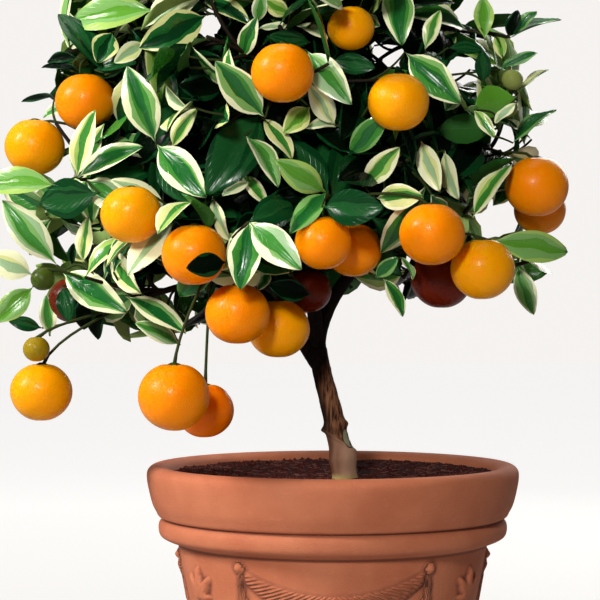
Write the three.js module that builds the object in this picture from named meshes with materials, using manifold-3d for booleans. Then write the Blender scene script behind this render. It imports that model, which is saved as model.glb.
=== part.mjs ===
// A potted mandarin orange tree with variegated leaves: a leaning trunk that forks into boughs,
// masses of twigs with their leaves and fruit, and a filled terracotta pot with a rolled rim,
// a band and moulded garlands. Millimetres, +Z up, the front towards -Y.
// The origin is the middle of the pot's flat underside.
import * as THREE from 'three';
import { mergeVertices } from 'three/addons/utils/BufferGeometryUtils.js';
import Module from 'manifold-3d';

const wasm = await Module();
wasm.setup();
const { Manifold, Mesh: SolidMesh } = wasm;

// Driving dimensions of the pot, from its foot up. Profile points are [radius, height].
const FOOT_RADIUS = 94;
const FOOT_CHAMFER = [2, 3];
const WALL_TOP_RADIUS = 137.5;
const WALL_TOP_HEIGHT = 218.5;
const BAND_RADIUS = 154.5;
const BAND_PROFILE = [[147.5, 222], [153.7, 226.5], [BAND_RADIUS, 235]];
const GROOVE_RADIUS = 151;
const GROOVE_HEIGHT = 240.5;
const RIM_RADIUS = 165.4;
const RIM_HEIGHT = 277;
const POT_HEIGHT = 287;
const RIM_PROFILE = [[155.2, 243.5], [161, 255.5], [RIM_RADIUS, RIM_HEIGHT]];
const LIP_PROFILE = [[163, 283.5], [157, POT_HEIGHT], [149, 285.5]];
const MOUTH_RADIUS = 143;
const MOUTH_HEIGHT = 281;
const FLOOR_THICKNESS = 12;
const FLOOR_RADIUS = 86;
const POT_SEGMENTS = 36;
const DRAIN_RADIUS = 6;
const DRAIN_CIRCLE_RADIUS = 48;
const DRAIN_COUNT = 3;

// Driving dimensions of the moulded relief: three garlands, each between two knobs,
// with a sprig of three leaves between garlands
const GARLAND_COUNT = 3;
const GARLAND_HALF_ANGLE = 36 * Math.PI / 180;
const KNOB_HEIGHT = 208;
const KNOB_RADIUS = 5.5;
const GARLAND_END_HEIGHT = 201;
const GARLAND_SAG = 27;
const GARLAND_THICK = 13;
const GARLAND_THIN = 4;
const GARLAND_SIDES = 5;
const GARLAND_STEPS = 7;
const TASSEL_LENGTH = 44;
const TASSEL_RADIUS = 9;
const TASSEL_TOP_RADIUS = 1.5;
const SPRIG_HEIGHT = 178;
const SPRIG_LEAF_LENGTH = 26;
const SPRIG_LEAF_WIDTH = 10;
const SPRIG_SPREAD = 0.75;
const RELIEF_DEPTH = 5;

// Driving dimensions of the soil
const GROUND = 275;
const CLEARANCE = 0.3;
const SOIL_EDGE_RISE = 4.5;
const SOIL_EDGE_WIDTH = 10;
const SOIL_ROUGHNESS = 1.6;
const SOIL_FLAT_RADIUS = 36;
const SOIL_RINGS = 5;

// Driving dimensions of the trunk. A swelling is [extra radius, its place, its spread],
// the last two as shares of the length.
const TRUNK_FOOT = [10.7, -20, GROUND];
const FORK = [-14, -14, 394];
const TRUNK_PLACES = [TRUNK_FOOT, [8, -19, 297], [3.1, -18, 317], [-4, -16, 347], [-10.7, -15, 375], FORK];
const TRUNK_RADII = [10.6, 7.6];
const SWELLINGS = [[2.1, 0.15, 0.07], [1.1, 0.4, 0.035]];
const ROOT_FLARE = [1.2, 0.03];
const FORK_SWELLING = [2.4, 0.82];
const TRUNK_SIDES = 11;
const TRUNK_STEPS = 13;

// Driving dimensions of the boughs and branches. A bend keeps a share of the heading that it starts with.
const BOUGH_RADII = [6.6, 3.8];
const BRANCH_RADII = [4.3, 3];
const BOUGH_SIDES = 8;
const BRANCH_SIDES = 6;
const LIMB_STEPS = 5;
const STUB_LENGTH = 30;
const BOUGH_KEEP = 0.3;
const BRANCH_KEEP = 0.35;
const BEND_REACH = 0.45;
const CORNER_ALLOWANCE = 1.09;

// Driving dimensions of the leaves, twigs and stalks
const LEAF_LENGTH = 75;
const LEAF_WIDTH = 38;
const LEAF_WIDEST = 0.46;
const LEAF_THICKNESS = 2;
const LEAF_SPACING = 17;
const LEAF_TRIES = 14;
const TWIG_RADII = [2.1, 1.5];
const STALK_RADIUS = 1.5;
const STALK_SINK = 0.78;
const STALK_RISE = 0.8;
const STALK_LEAN = 0.12;
const STALK_SWINGS = [0, 1.2, 2.4, 3.4];
const STALK_CHECKS = 16;
const STEM_SHORTFALL = 0.12;
const SMALLEST_DETAIL = 0.05;
const BENDS = [0.45, 0.1, 0.8];
const GOLDEN_ANGLE = Math.PI * (3 - Math.sqrt(5));

// The crown's outline: a rounded box of foliage round this middle, with these reaches and this squareness
const CROWN_MIDDLE = new THREE.Vector3(-43, 0, 560);
const CROWN_REACH = new THREE.Vector3(257, 238, 242);
const CROWN_SQUARENESS = 2.3;

// The masses of foliage: the middle of each one's space, the limb that carries it and where that limb ends
const MASSES = [
  { name: 'left_low', middle: [-200, -40, 420], limb: 'branch_left_low', foot: [-128, -42, 446] },
  { name: 'left', middle: [-200, -30, 545], limb: 'bough_left', foot: [-122, -28, 505] },
  { name: 'left_up', middle: [-165, -20, 665], limb: 'branch_left_up', foot: [-116, -22, 582] },
  { name: 'front_left', middle: [-112, -148, 445], limb: 'branch_front_left', foot: [-78, -84, 470] },
  { name: 'front', middle: [0, -145, 515], limb: 'bough_front', foot: [-24, -74, 506] },
  { name: 'front_top', middle: [-50, -130, 650], limb: 'branch_front_top', foot: [-42, -62, 596] },
  { name: 'right_low', middle: [128, -42, 448], limb: 'branch_right_low', foot: [66, -40, 478] },
  { name: 'right', middle: [160, 0, 570], limb: 'bough_right', foot: [78, -12, 530] },
  { name: 'right_up', middle: [100, -20, 680], limb: 'branch_right_up', foot: [62, -16, 606] },
  { name: 'top', middle: [-40, 10, 750], limb: 'bough_leader', foot: [-34, 2, 634] },
  { name: 'back_left', middle: [-140, 120, 590], limb: 'branch_back_left', foot: [-86, 72, 540] },
  { name: 'back_right', middle: [70, 125, 590], limb: 'branch_back_right', foot: [24, 84, 545] },
  { name: 'back_low', middle: [-40, 130, 460], limb: 'bough_back', foot: [-26, 76, 474] },
].map(({ middle, foot, ...rest }) =>
  ({ ...rest, middle: new THREE.Vector3(...middle), foot: new THREE.Vector3(...foot) }));

// Side branches: the bough each leaves, and how far along it
const BRANCHES = {
  branch_left_low: ['bough_left', 0.42],
  branch_left_up: ['bough_left', 0.68],
  branch_front_left: ['bough_front', 0.45],
  branch_front_top: ['bough_leader', 0.62],
  branch_right_low: ['bough_right', 0.48],
  branch_right_up: ['bough_right', 0.74],
  branch_back_left: ['bough_back', 0.5],
  branch_back_right: ['bough_back', 0.74],
};

// The fruit that show from the front: middle [x, y, z] and diameter, the last four small and unripe
const FRONT_FRUIT = [
  [13, -130, 658, 39], [-43, -175, 616, 51], [-214, -60, 604, 52], [-263, -20, 568, 53],
  [-167, -150, 503, 50], [-115, -160, 470, 53], [-80, -150, 422, 53], [-47, -103, 409, 52],
  [-10, -150, 480, 47], [16, -106, 475, 48], [79, -150, 487, 54], [123, -120, 459, 54],
  [92, -74, 451, 53], [175, -60, 531, 55], [184, -8, 513, 46], [51, -160, 594, 50],
  [-252, -60, 354, 53], [-131, -170, 355, 58], [-108, -118, 341, 48], [-22, -76, 441, 40],
  [-230, -20, 433, 42], [-249, -75, 451, 21], [-255, -70, 391, 23], [154, -60, 623, 19], [150, -50, 600, 20],
];
const BACK_FRUIT_COUNT = 15;
const BACK_FRUIT_DIAMETER = 51;
const BACK_FRUIT_SHARE = 0.86;
const BACK_FRUIT_LOWEST = -0.75;
const BACK_FRUIT_ROOM = 9;
const FRUIT_FLATNESS = 0.93;

// The crown's gaps as the eye sees them from the front: [across, down, radius] in a view whose middle is
// straight ahead and whose unit is a millimetre at the view's distance
const EYE = new THREE.Vector3(-29, -1800, 433);
const VIEW_DISTANCE = 2018;
const VIEW_MIDDLE = 300;
const GAPS = [
  [12, 40, 40], [15, 92, 22], [207, 28, 12], [66, 168, 9], [112, 140, 6], [12, 232, 12], [70, 240, 8],
  [101, 236, 9], [145, 277, 7], [166, 287, 9], [85, 347, 12], [112, 337, 9], [388, 58, 13], [462, 14, 13],
  [461, 72, 15], [441, 118, 8], [548, 44, 12], [575, 60, 26], [578, 115, 26], [545, 90, 12], [550, 145, 14],
  [498, 142, 12], [493, 222, 14], [405, 262, 8], [372, 310, 26], [358, 338, 28], [420, 345, 30],
  [470, 345, 34], [520, 345, 28], [565, 300, 28], [110, 358, 24], [225, 378, 22], [70, 375, 12],
  [195, 335, 8],
];

// The foliage's lower edge: [place across, lowest height of a leaf there]
const LOWER_EDGE = [[-260, 388], [0, 404], [60, 428], [260, 442]];

// The shoots that show from the front: where their twigs end
const FRONT_SHOOTS = [
  [-148, -120, 564], [-217, -90, 535], [-233, -100, 461], [-172, -100, 425], [-57, -170, 581],
  [-70, -180, 496], [14, -160, 520], [78, -140, 618], [55, -130, 666], [-180, -110, 667],
  [-124, -140, 655], [-5, -165, 625], [142, -75, 590], [168, -50, 655], [124, -90, 526], [180, -40, 470],
  [48, -100, 436], [-123, -150, 531], [-98, -140, 580], [-29, -160, 540], [-254, -50, 641], [-258, -60, 480],
];
const FRONT_SHOOT_LEAVES = 6;

// The other shoots spread over shells of the crown: [how many, share of the reach, leaves on each]
const SHELLS = [[64, 0.78, 6], [18, 0.48, 4]];
const SHOOT_SPACING = 48;
const SHOOT_SCATTER = 0.22;
const REACH_SCATTER = 0.08;
const LOWEST_RISE = -0.66;
const SEED = 37;

// Where a twig leaves its mass's skeleton: what a turn and the way back to the limb cost it
const KNOT_SPACING = 9;
const TURN_COST = 0.35;
const WAY_BACK_COST = 0.45;

// How far twigs and leaves keep from the border of their mass's space, and from what is already there
const TWIG_MARGIN = 2.5;
const TWIG_CLEARANCE = 3.5;
const LEAF_MARGIN = 3.2;
const LEAF_CLEARANCE = 6;
const FRUIT_GIVE = 3;

// How leaves stand on a shoot: their steps down from its tip, and their lean away from it
const FIRST_LEAF_BACK = 1.5;
const LEAF_STEP = 9;
const LAST_LEAF_SHARE = 0.8;
const LEAF_SWING = 0.7;
const LEAF_LEAN = 0.5;
const LEAN_STEP = 0.16;
const LEAN_TRY = 0.08;
const LEAN_SCATTER = 0.2;
const LEAF_LIFT = 0.5;

// Random numbers from 0 to 1, the same run of them for the same seed.
function seededRandom(seed) {
  let state = seed >>> 0;
  return () => {
    state = (Math.imul(state, 1664525) + 1013904223) >>> 0;
    return state / 4294967296;
  };
}

// Solids from geometry, and back
function solidFrom(geometry) {
  const bare = new THREE.BufferGeometry();
  bare.setAttribute('position', geometry.getAttribute('position'));
  bare.setIndex(geometry.getIndex());
  const merged = mergeVertices(bare, 1e-4);
  return new Manifold(new SolidMesh({
    numProp: 3,
    vertProperties: merged.attributes.position.array,
    triVerts: new Uint32Array(merged.index.array),
  }));
}

// The largest piece of a solid, without loose scraps and without details finer than the smallest that counts
function largest(solid) {
  const pieces = solid.simplify(SMALLEST_DETAIL).decompose();
  return pieces.sort((a, b) => b.volume() - a.volume())[0];
}

function geometryFrom(solid) {
  const mesh = solid.getMesh();
  const geometry = new THREE.BufferGeometry();
  geometry.setAttribute('position', new THREE.BufferAttribute(new Float32Array(mesh.vertProperties), 3));
  geometry.setIndex(new THREE.BufferAttribute(new Uint32Array(mesh.triVerts), 1));
  return geometry;
}

// Moves each vertex of a geometry by a rule that changes its place.
function reshape(geometry, rule) {
  const places = geometry.getAttribute('position');
  const point = new THREE.Vector3();
  for (let i = 0; i < places.count; i++) {
    point.fromBufferAttribute(places, i);
    rule(point);
    places.setXYZ(i, point.x, point.y, point.z);
  }
  return geometry;
}

// A closed cylinder bent along a path, with a radius that may change along it.
function bentCylinder(path, radiusAt, sides, steps) {
  const frames = path.computeFrenetFrames(steps, false);
  return reshape(new THREE.CylinderGeometry(1, 1, 1, sides, steps), (point) => {
    const share = point.y + 0.5;
    const step = Math.round(share * steps);
    const across = frames.normals[step].clone().multiplyScalar(point.x * radiusAt(share));
    across.addScaledVector(frames.binormals[step], -point.z * radiusAt(share));
    point.copy(path.getPointAt(share)).add(across);
  });
}

// The stretch of a path between two shares of its length.
class Stretch extends THREE.Curve {
  constructor(path, from, to) {
    super();
    this.path = path;
    this.from = from;
    this.to = to;
  }

  getPoint(t, target = new THREE.Vector3()) {
    return target.copy(this.path.getPointAt(this.from + (this.to - this.from) * t));
  }
}

// The pot: one outline turned round the axis, with the relief fused on and the drain holes cut
function wallRadius(height) {
  return FOOT_RADIUS + (WALL_TOP_RADIUS - FOOT_RADIUS) * height / WALL_TOP_HEIGHT;
}

function innerRadius(height) {
  const rise = (height - FLOOR_THICKNESS) / (MOUTH_HEIGHT - FLOOR_THICKNESS);
  return FLOOR_RADIUS + (MOUTH_RADIUS - FLOOR_RADIUS) * rise;
}

function turned(outline) {
  const profile = outline.map(([radius, height]) => new THREE.Vector2(radius, height));
  return new THREE.LatheGeometry(profile, POT_SEGMENTS).rotateX(Math.PI / 2);
}

function potOutline() {
  const [chamferWidth, chamferHeight] = FOOT_CHAMFER;
  return [
    [0, 0], [FOOT_RADIUS - chamferWidth, 0], [wallRadius(chamferHeight), chamferHeight],
    [WALL_TOP_RADIUS, WALL_TOP_HEIGHT], ...BAND_PROFILE, [GROOVE_RADIUS, GROOVE_HEIGHT],
    ...RIM_PROFILE, ...LIP_PROFILE, [MOUTH_RADIUS, MOUTH_HEIGHT],
    [FLOOR_RADIUS, FLOOR_THICKNESS], [0, FLOOR_THICKNESS],
  ];
}

// Wraps flat relief round the wall: x runs along the wall, y up it and z out of it.
function wrapped(geometry, around) {
  return solidFrom(reshape(geometry, (point) => {
    const angle = around + point.x / wallRadius(KNOB_HEIGHT);
    const radius = wallRadius(point.y) + point.z;
    point.set(radius * Math.sin(angle), -radius * Math.cos(angle), point.y);
  }));
}

function garland(around) {
  const half = GARLAND_HALF_ANGLE * wallRadius(KNOB_HEIGHT) - KNOB_RADIUS;
  const middle = GARLAND_END_HEIGHT - 2 * GARLAND_SAG;
  const path = new THREE.QuadraticBezierCurve3(
    new THREE.Vector3(-half, GARLAND_END_HEIGHT, 0),
    new THREE.Vector3(0, middle, 0),
    new THREE.Vector3(half, GARLAND_END_HEIGHT, 0));
  const thickness = (share) => GARLAND_THIN + (GARLAND_THICK - GARLAND_THIN) * Math.sin(Math.PI * share);
  const rope = bentCylinder(path, thickness, GARLAND_SIDES, GARLAND_STEPS);
  return wrapped(rope.scale(1, 1, RELIEF_DEPTH / GARLAND_THICK), around);
}

function knobAndTassel(around) {
  const knob = new THREE.SphereGeometry(KNOB_RADIUS, 6, 3).scale(1, 1, RELIEF_DEPTH / KNOB_RADIUS);
  const tassel = new THREE.CylinderGeometry(TASSEL_TOP_RADIUS, TASSEL_RADIUS, TASSEL_LENGTH, 6, 1);
  tassel.scale(1, 1, RELIEF_DEPTH / TASSEL_RADIUS).translate(0, KNOB_HEIGHT - TASSEL_LENGTH / 2, 0);
  return [wrapped(knob.translate(0, KNOB_HEIGHT, 0), around), wrapped(tassel, around)];
}

function sprig(around) {
  return [-1, 0, 1].map((side) => {
    const leaf = new THREE.OctahedronGeometry(1);
    leaf.scale(SPRIG_LEAF_WIDTH / 2, SPRIG_LEAF_LENGTH / 2, RELIEF_DEPTH);
    leaf.translate(0, SPRIG_LEAF_LENGTH / 2, 0).rotateZ(-side * SPRIG_SPREAD);
    return wrapped(leaf.translate(0, SPRIG_HEIGHT, 0), around);
  });
}

function potSolid() {
  const relief = [];
  for (let i = 0; i < GARLAND_COUNT; i++) {
    const around = i * 2 * Math.PI / GARLAND_COUNT;
    relief.push(garland(around), ...sprig(around + Math.PI / GARLAND_COUNT));
    relief.push(...knobAndTassel(around - GARLAND_HALF_ANGLE));
    relief.push(...knobAndTassel(around + GARLAND_HALF_ANGLE));
  }
  let pot = Manifold.union([solidFrom(turned(potOutline())), ...relief]);
  for (let i = 0; i < DRAIN_COUNT; i++) {
    const drain = new THREE.CylinderGeometry(DRAIN_RADIUS, DRAIN_RADIUS, 4 * FLOOR_THICKNESS, 8);
    drain.rotateX(Math.PI / 2).translate(DRAIN_CIRCLE_RADIUS, 0, 0).rotateZ(i * 2 * Math.PI / DRAIN_COUNT);
    pot = pot.subtract(solidFrom(drain));
  }
  return largest(pot);
}

// The soil fills the pot. Its top is rough, a little higher at the edge, and flat under the trunk.
function soilSolid() {
  const edge = GROUND + SOIL_EDGE_RISE - CLEARANCE;
  const floor = FLOOR_THICKNESS + CLEARANCE;
  const outline = [[0, floor]];
  for (const height of [floor, edge]) outline.push([innerRadius(height) - CLEARANCE, height]);
  for (let ring = 1; ring <= SOIL_RINGS; ring++) {
    outline.push([innerRadius(edge) * (1 - ring / SOIL_RINGS), edge]);
  }
  const random = seededRandom(SEED);
  const roughness = new Map();
  return solidFrom(reshape(turned(outline), (point) => {
    if (point.z < edge - 1 || Math.hypot(point.x, point.y) > innerRadius(edge) - 1) return;
    const place = [point.x, point.y].map((value) => Math.round(value * 100)).join();
    if (!roughness.has(place)) roughness.set(place, random());
    const away = Math.hypot(point.x - TRUNK_FOOT[0], point.y - TRUNK_FOOT[1]);
    const rise = THREE.MathUtils.smoothstep(away, SOIL_FLAT_RADIUS, MOUTH_RADIUS - SOIL_EDGE_WIDTH);
    const bump = away > SOIL_FLAT_RADIUS ? SOIL_ROUGHNESS * (roughness.get(place) - 0.5) : 0;
    point.z = GROUND - CLEARANCE + SOIL_EDGE_RISE * rise + bump;
  }));
}

// Limbs: the trunk's path leans to the left, and each bough and branch bends from its parent towards its end
function trunkPath() {
  const places = TRUNK_PLACES.map((place) => new THREE.Vector3(...place));
  return new THREE.CatmullRomCurve3(places, false, 'catmullrom', 0.5);
}

function taper([thick, thin]) {
  return (share) => thick + (thin - thick) * share;
}

// The trunk tapers upwards, with a flare at the ground, the old graft's swelling above it and a broad fork.
function trunkRadius(share) {
  const [flare, flareSpread] = ROOT_FLARE;
  const [fork, forkStart] = FORK_SWELLING;
  const swollen = SWELLINGS.reduce((total, [extra, place, spread]) =>
    total + extra * Math.exp(-(((share - place) / spread) ** 2)), taper(TRUNK_RADII)(share));
  const flared = flare * Math.exp(-share / flareSpread);
  return swollen + flared + fork * THREE.MathUtils.smoothstep(share, forkStart, 1);
}

function bend(from, along, to, keep) {
  const reach = from.distanceTo(to);
  const towards = to.clone().sub(from).normalize();
  const heading = along.clone().normalize().multiplyScalar(keep);
  heading.addScaledVector(towards, 1 - keep).normalize();
  const corner = from.clone().addScaledVector(heading, BEND_REACH * reach);
  return new THREE.QuadraticBezierCurve3(from, corner, to);
}

// All limbs by name, as {path, radiusAt, from}, where the part before the share from belongs to the trunk
function limbPaths() {
  const limbs = { trunk: { path: trunkPath(), radiusAt: trunkRadius, from: 0 } };
  const upwards = new THREE.Vector3(0, 0, 1);
  for (const { limb, foot } of MASSES.filter((mass) => mass.limb.startsWith('bough'))) {
    const path = bend(new THREE.Vector3(...FORK), upwards, foot, BOUGH_KEEP);
    limbs[limb] = { path, radiusAt: taper(BOUGH_RADII), from: STUB_LENGTH / path.getLength() };
  }
  for (const { limb, foot } of MASSES.filter((mass) => mass.limb.startsWith('branch'))) {
    const [bough, share] = BRANCHES[limb];
    const parent = limbs[bough].path;
    const path = bend(parent.getPointAt(share), parent.getTangentAt(share), foot, BRANCH_KEEP);
    limbs[limb] = { path, radiusAt: taper(BRANCH_RADII), from: 0, parent: bough };
  }
  return limbs;
}

// The trunk with the stubs of its boughs as one solid, and each bough and branch as its own, cut clear
function limbSolids(limbs) {
  const solids = {};
  const stubs = [];
  for (const [name, { path, radiusAt, from, parent }] of Object.entries(limbs)) {
    if (name === 'trunk') continue;
    const start = from && from + CLEARANCE / path.getLength();
    const free = new Stretch(path, start, 1);
    const sides = parent ? BRANCH_SIDES : BOUGH_SIDES;
    const tube = bentCylinder(free, (t) => radiusAt(start + (1 - start) * t), sides, LIMB_STEPS);
    if (!parent) {
      const stub = new Stretch(path, 0, from);
      stubs.push(solidFrom(bentCylinder(stub, (t) => radiusAt(from * t), BOUGH_SIDES, 2)));
      solids[name] = solidFrom(tube);
      continue;
    }
    const { path: boughPath, radiusAt: boughRadius } = limbs[parent];
    const clearRadius = (t) => boughRadius(t) * CORNER_ALLOWANCE + CLEARANCE;
    const round = bentCylinder(boughPath, clearRadius, BOUGH_SIDES, 12);
    solids[name] = largest(solidFrom(tube).subtract(solidFrom(round)));
  }
  const stem = solidFrom(bentCylinder(limbs.trunk.path, trunkRadius, TRUNK_SIDES, TRUNK_STEPS));
  const underground = new THREE.BoxGeometry(80, 80, 40).translate(TRUNK_FOOT[0], TRUNK_FOOT[1], GROUND - 20);
  solids.trunk = largest(Manifold.union([stem, ...stubs]).subtract(solidFrom(underground)));
  return solids;
}

// Points along a path with their radii, as obstacles that foliage keeps clear of
function obstaclesAlong(path, radiusAt, owner) {
  const count = Math.ceil(path.getLength() / 4);
  return Array.from({ length: count + 1 }, (_, i) => {
    const share = i / count;
    return { middle: path.getPointAt(share), radius: radiusAt(share), owner };
  });
}

function isClear(points, obstacles, owner, margin) {
  return obstacles.every((obstacle) => obstacle.owner === owner
    || points.every((point) => point.distanceTo(obstacle.middle) > obstacle.radius + margin));
}

// The space of a mass: every point nearer to its middle than to the other masses' middles
function inSpace(point, mass, margin) {
  return MASSES.every((other) => {
    if (other === mass) return true;
    const apart = other.middle.distanceTo(mass.middle);
    const nearer = point.distanceToSquared(other.middle) - point.distanceToSquared(mass.middle);
    return nearer > 2 * apart * margin;
  });
}

// How far a direction from the crown's middle can go before it leaves the crown's outline
function crownReach(direction) {
  const sum = ['x', 'y', 'z'].reduce((total, axis) =>
    total + Math.abs(direction[axis] / CROWN_REACH[axis]) ** CROWN_SQUARENESS, 0);
  return sum ** (-1 / CROWN_SQUARENESS);
}

function inCrown(point) {
  const offset = point.clone().sub(CROWN_MIDDLE);
  return offset.length() < crownReach(offset.clone().normalize());
}

// Where a point shows in the view from the front: [across, down, how many millimetres a unit spans there]
function viewPlace(point) {
  const scale = (point.y - EYE.y) / VIEW_DISTANCE;
  return [VIEW_MIDDLE + (point.x - EYE.x) / scale, VIEW_MIDDLE - (point.z - EYE.z) / scale, scale];
}

// Whether something of this radius round a point would show in one of the crown's gaps
function showsInGap(point, radius) {
  const [across, down, scale] = viewPlace(point);
  return GAPS.some(([x, y, gapRadius]) => Math.hypot(across - x, down - y) < gapRadius + radius / scale);
}

function lowestLeaf(across) {
  const next = LOWER_EDGE.findIndex(([place]) => place > across);
  if (next < 1) return next ? LOWER_EDGE.at(-1)[1] : LOWER_EDGE[0][1];
  const [[start, low], [end, high]] = LOWER_EDGE.slice(next - 1, next + 1);
  return THREE.MathUtils.mapLinear(across, start, end, low, high);
}

// Directions spread evenly over a sphere by the golden angle
function spreadDirections(count) {
  return Array.from({ length: count }, (_, i) => {
    const rise = 1 - 2 * (i + 0.5) / count;
    const flat = Math.sqrt(1 - rise * rise);
    return new THREE.Vector3(flat * Math.cos(i * GOLDEN_ANGLE), flat * Math.sin(i * GOLDEN_ANGLE), rise);
  });
}

function nearestMass(point) {
  return MASSES.reduce((best, mass) =>
    (point.distanceTo(mass.middle) < point.distanceTo(best.middle) ? mass : best));
}

// Where shoots end: those of the front, then others on each shell of the crown with a little seeded scatter
function shootTips() {
  const random = seededRandom(SEED + 1);
  const shoots = FRONT_SHOOTS.map((tip) => ({ tip: new THREE.Vector3(...tip), leaves: FRONT_SHOOT_LEAVES }));
  for (const [count, share, leaves] of SHELLS) {
    for (const direction of spreadDirections(count)) {
      const scatter = new THREE.Vector3(random() - 0.5, random() - 0.5, random() - 0.5);
      const heading = direction.clone().addScaledVector(scatter, SHOOT_SCATTER).normalize();
      const reach = crownReach(heading) * (share + REACH_SCATTER * (random() - 0.5));
      const tip = heading.multiplyScalar(reach).add(CROWN_MIDDLE);
      const isApart = shoots.every((shoot) => shoot.tip.distanceTo(tip) > SHOOT_SPACING);
      if (direction.z > LOWEST_RISE && isApart) shoots.push({ tip, leaves });
    }
  }
  return shoots;
}

// All the fruit: those of the front, and more round the back by the golden angle
function allFruit() {
  const fruit = FRONT_FRUIT.map(([x, y, z, diameter]) =>
    ({ middle: new THREE.Vector3(x, y, z), radius: diameter / 2 }));
  const behind = spreadDirections(2 * BACK_FRUIT_COUNT)
    .map((direction) => new THREE.Vector3(direction.x, direction.z, direction.y))
    .filter((direction) => direction.y > 0 && direction.z > BACK_FRUIT_LOWEST);
  for (const direction of behind) {
    const reach = crownReach(direction) * BACK_FRUIT_SHARE;
    const middle = direction.clone().multiplyScalar(reach).add(CROWN_MIDDLE);
    const radius = BACK_FRUIT_DIAMETER / 2;
    if (!showsInGap(middle, radius + BACK_FRUIT_ROOM)) fruit.push({ middle, radius });
  }
  return fruit.map((one) => ({ ...one, mass: nearestMass(one.middle) }));
}

// The twigs of one mass, as a skeleton of points that new twigs may branch from
class Skeleton {
  constructor() {
    this.knots = [];
    this.twigs = [];
  }

  add(path, radiusAt, sides, steps, before) {
    this.twigs.push({ path, radiusAt, sides, steps });
    const count = Math.max(3, Math.ceil(path.getLength() / KNOT_SPACING));
    for (let i = 1; i <= count - 1; i++) {
      const share = i / count;
      const knot = { point: path.getPointAt(share), along: path.getTangentAt(share) };
      this.knots.push({ ...knot, before: before + share * path.getLength() });
    }
  }

  // The knot a new twig leaves: near its tip, without a long way round, and not doubling back
  joint(tip) {
    const cost = ({ point, along, before }) => {
      const way = tip.clone().sub(point);
      const turn = 1 - along.dot(way) / way.length();
      return way.length() * (1 + TURN_COST * turn) + WAY_BACK_COST * before;
    };
    return this.knots.reduce((best, knot) => (cost(knot) < cost(best) ? knot : best));
  }
}

// A mass's stem: it goes on from the end of its limb, a clearance away, towards the middle of the space
function stemOf(mass, limbs) {
  const { path, radiusAt } = limbs[mass.limb];
  const along = path.getTangentAt(1);
  const start = mass.foot.clone().addScaledVector(along, CLEARANCE);
  const end = mass.middle.clone().lerp(start, STEM_SHORTFALL);
  return { path: bend(start, along, end, 1), radiusAt: taper([radiusAt(1), TWIG_RADII[0]]) };
}

// A leaf of four faces with its root in the twig: a keel below from root to tip, and an arched ridge
// across it
function leafSolid(root, heading, face, length) {
  const across = new THREE.Vector3().crossVectors(face, heading).normalize();
  const up = new THREE.Vector3().crossVectors(heading, across);
  return solidFrom(reshape(new THREE.TetrahedronGeometry(1), (point) => {
    const isOnKeel = point.z > 0;
    const side = isOnKeel ? 0 : -Math.sign(point.y);
    const along = isOnKeel ? Math.max(0, Math.sign(point.x)) : LEAF_WIDEST;
    point.copy(root).addScaledVector(heading, along * length).addScaledVector(across, side * LEAF_WIDTH / 2);
    point.addScaledVector(up, isOnKeel ? 0 : LEAF_THICKNESS);
  }));
}

// Points over a leaf's length and width, for testing what it would touch
function leafPoints(root, heading, face, length) {
  const across = new THREE.Vector3().crossVectors(face, heading).normalize();
  const points = [];
  for (const along of [0.2, 0.34, 0.48, 0.62, 0.76, 0.9, 1]) {
    const half = LEAF_WIDTH / 2 * Math.min(along / LEAF_WIDEST, (1 - along) / (1 - LEAF_WIDEST));
    const middle = root.clone().addScaledVector(heading, along * length);
    for (const side of [-1, 0, 1]) points.push(middle.clone().addScaledVector(across, side * half));
  }
  return points;
}

// The leaves of one shoot: down from its tip by the golden angle, each turned until it fits its space
function growLeaves(path, count, mass, obstacles, grown, random) {
  const shootLength = path.getLength();
  let turn = random() * 2 * Math.PI;
  for (let i = 0; i < count; i++) {
    const back = Math.min(LAST_LEAF_SHARE, (FIRST_LEAF_BACK + LEAF_STEP * i) / shootLength);
    const root = path.getPointAt(1 - back);
    const along = path.getTangentAt(1 - back);
    const side = new THREE.Vector3(0, 0, 1).cross(along).normalize();
    turn += GOLDEN_ANGLE;
    for (let attempt = 0; attempt < LEAF_TRIES; attempt++) {
      const swing = turn + attempt * LEAF_SWING;
      const lean = LEAF_LEAN + LEAN_STEP * i + LEAN_TRY * attempt + LEAN_SCATTER * random();
      const out = side.clone().applyAxisAngle(along, swing);
      const heading = along.clone().multiplyScalar(Math.cos(lean)).addScaledVector(out, Math.sin(lean));
      const face = along.clone().multiplyScalar(Math.sin(lean)).addScaledVector(out, -Math.cos(lean));
      face.add(new THREE.Vector3(0, 0, LEAF_LIFT)).normalize();
      const length = LEAF_LENGTH * (0.85 + 0.3 * random());
      const points = leafPoints(root, heading, face, length);
      const middle = points[10];
      const near = grown.filter((other) => other.middle.distanceTo(middle) < length);
      const fits = points.every((point) => inSpace(point, mass, LEAF_MARGIN) && inCrown(point)
          && point.z > lowestLeaf(point.x) && !showsInGap(point, 0))
        && near.every((other) => other.middle.distanceTo(middle) > LEAF_SPACING)
        && isClear(points, obstacles, mass.name, LEAF_CLEARANCE);
      if (!fits) continue;
      const solid = leafSolid(root, heading, face, length);
      if (near.some((other) => other.mass === mass && !solid.intersect(other.solid).isEmpty())) continue;
      grown.push({ solid, middle, mass });
      break;
    }
  }
}

// Fruit hang under the end of a stalk that bends over and goes down into them
function fruitSolid({ middle, radius }) {
  const ball = new THREE.SphereGeometry(radius, radius > 15 ? 8 : 6, radius > 15 ? 5 : 4);
  ball.scale(1, FRUIT_FLATNESS, 1).rotateX(Math.PI / 2);
  return solidFrom(ball.translate(middle.x, middle.y, middle.z));
}

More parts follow.
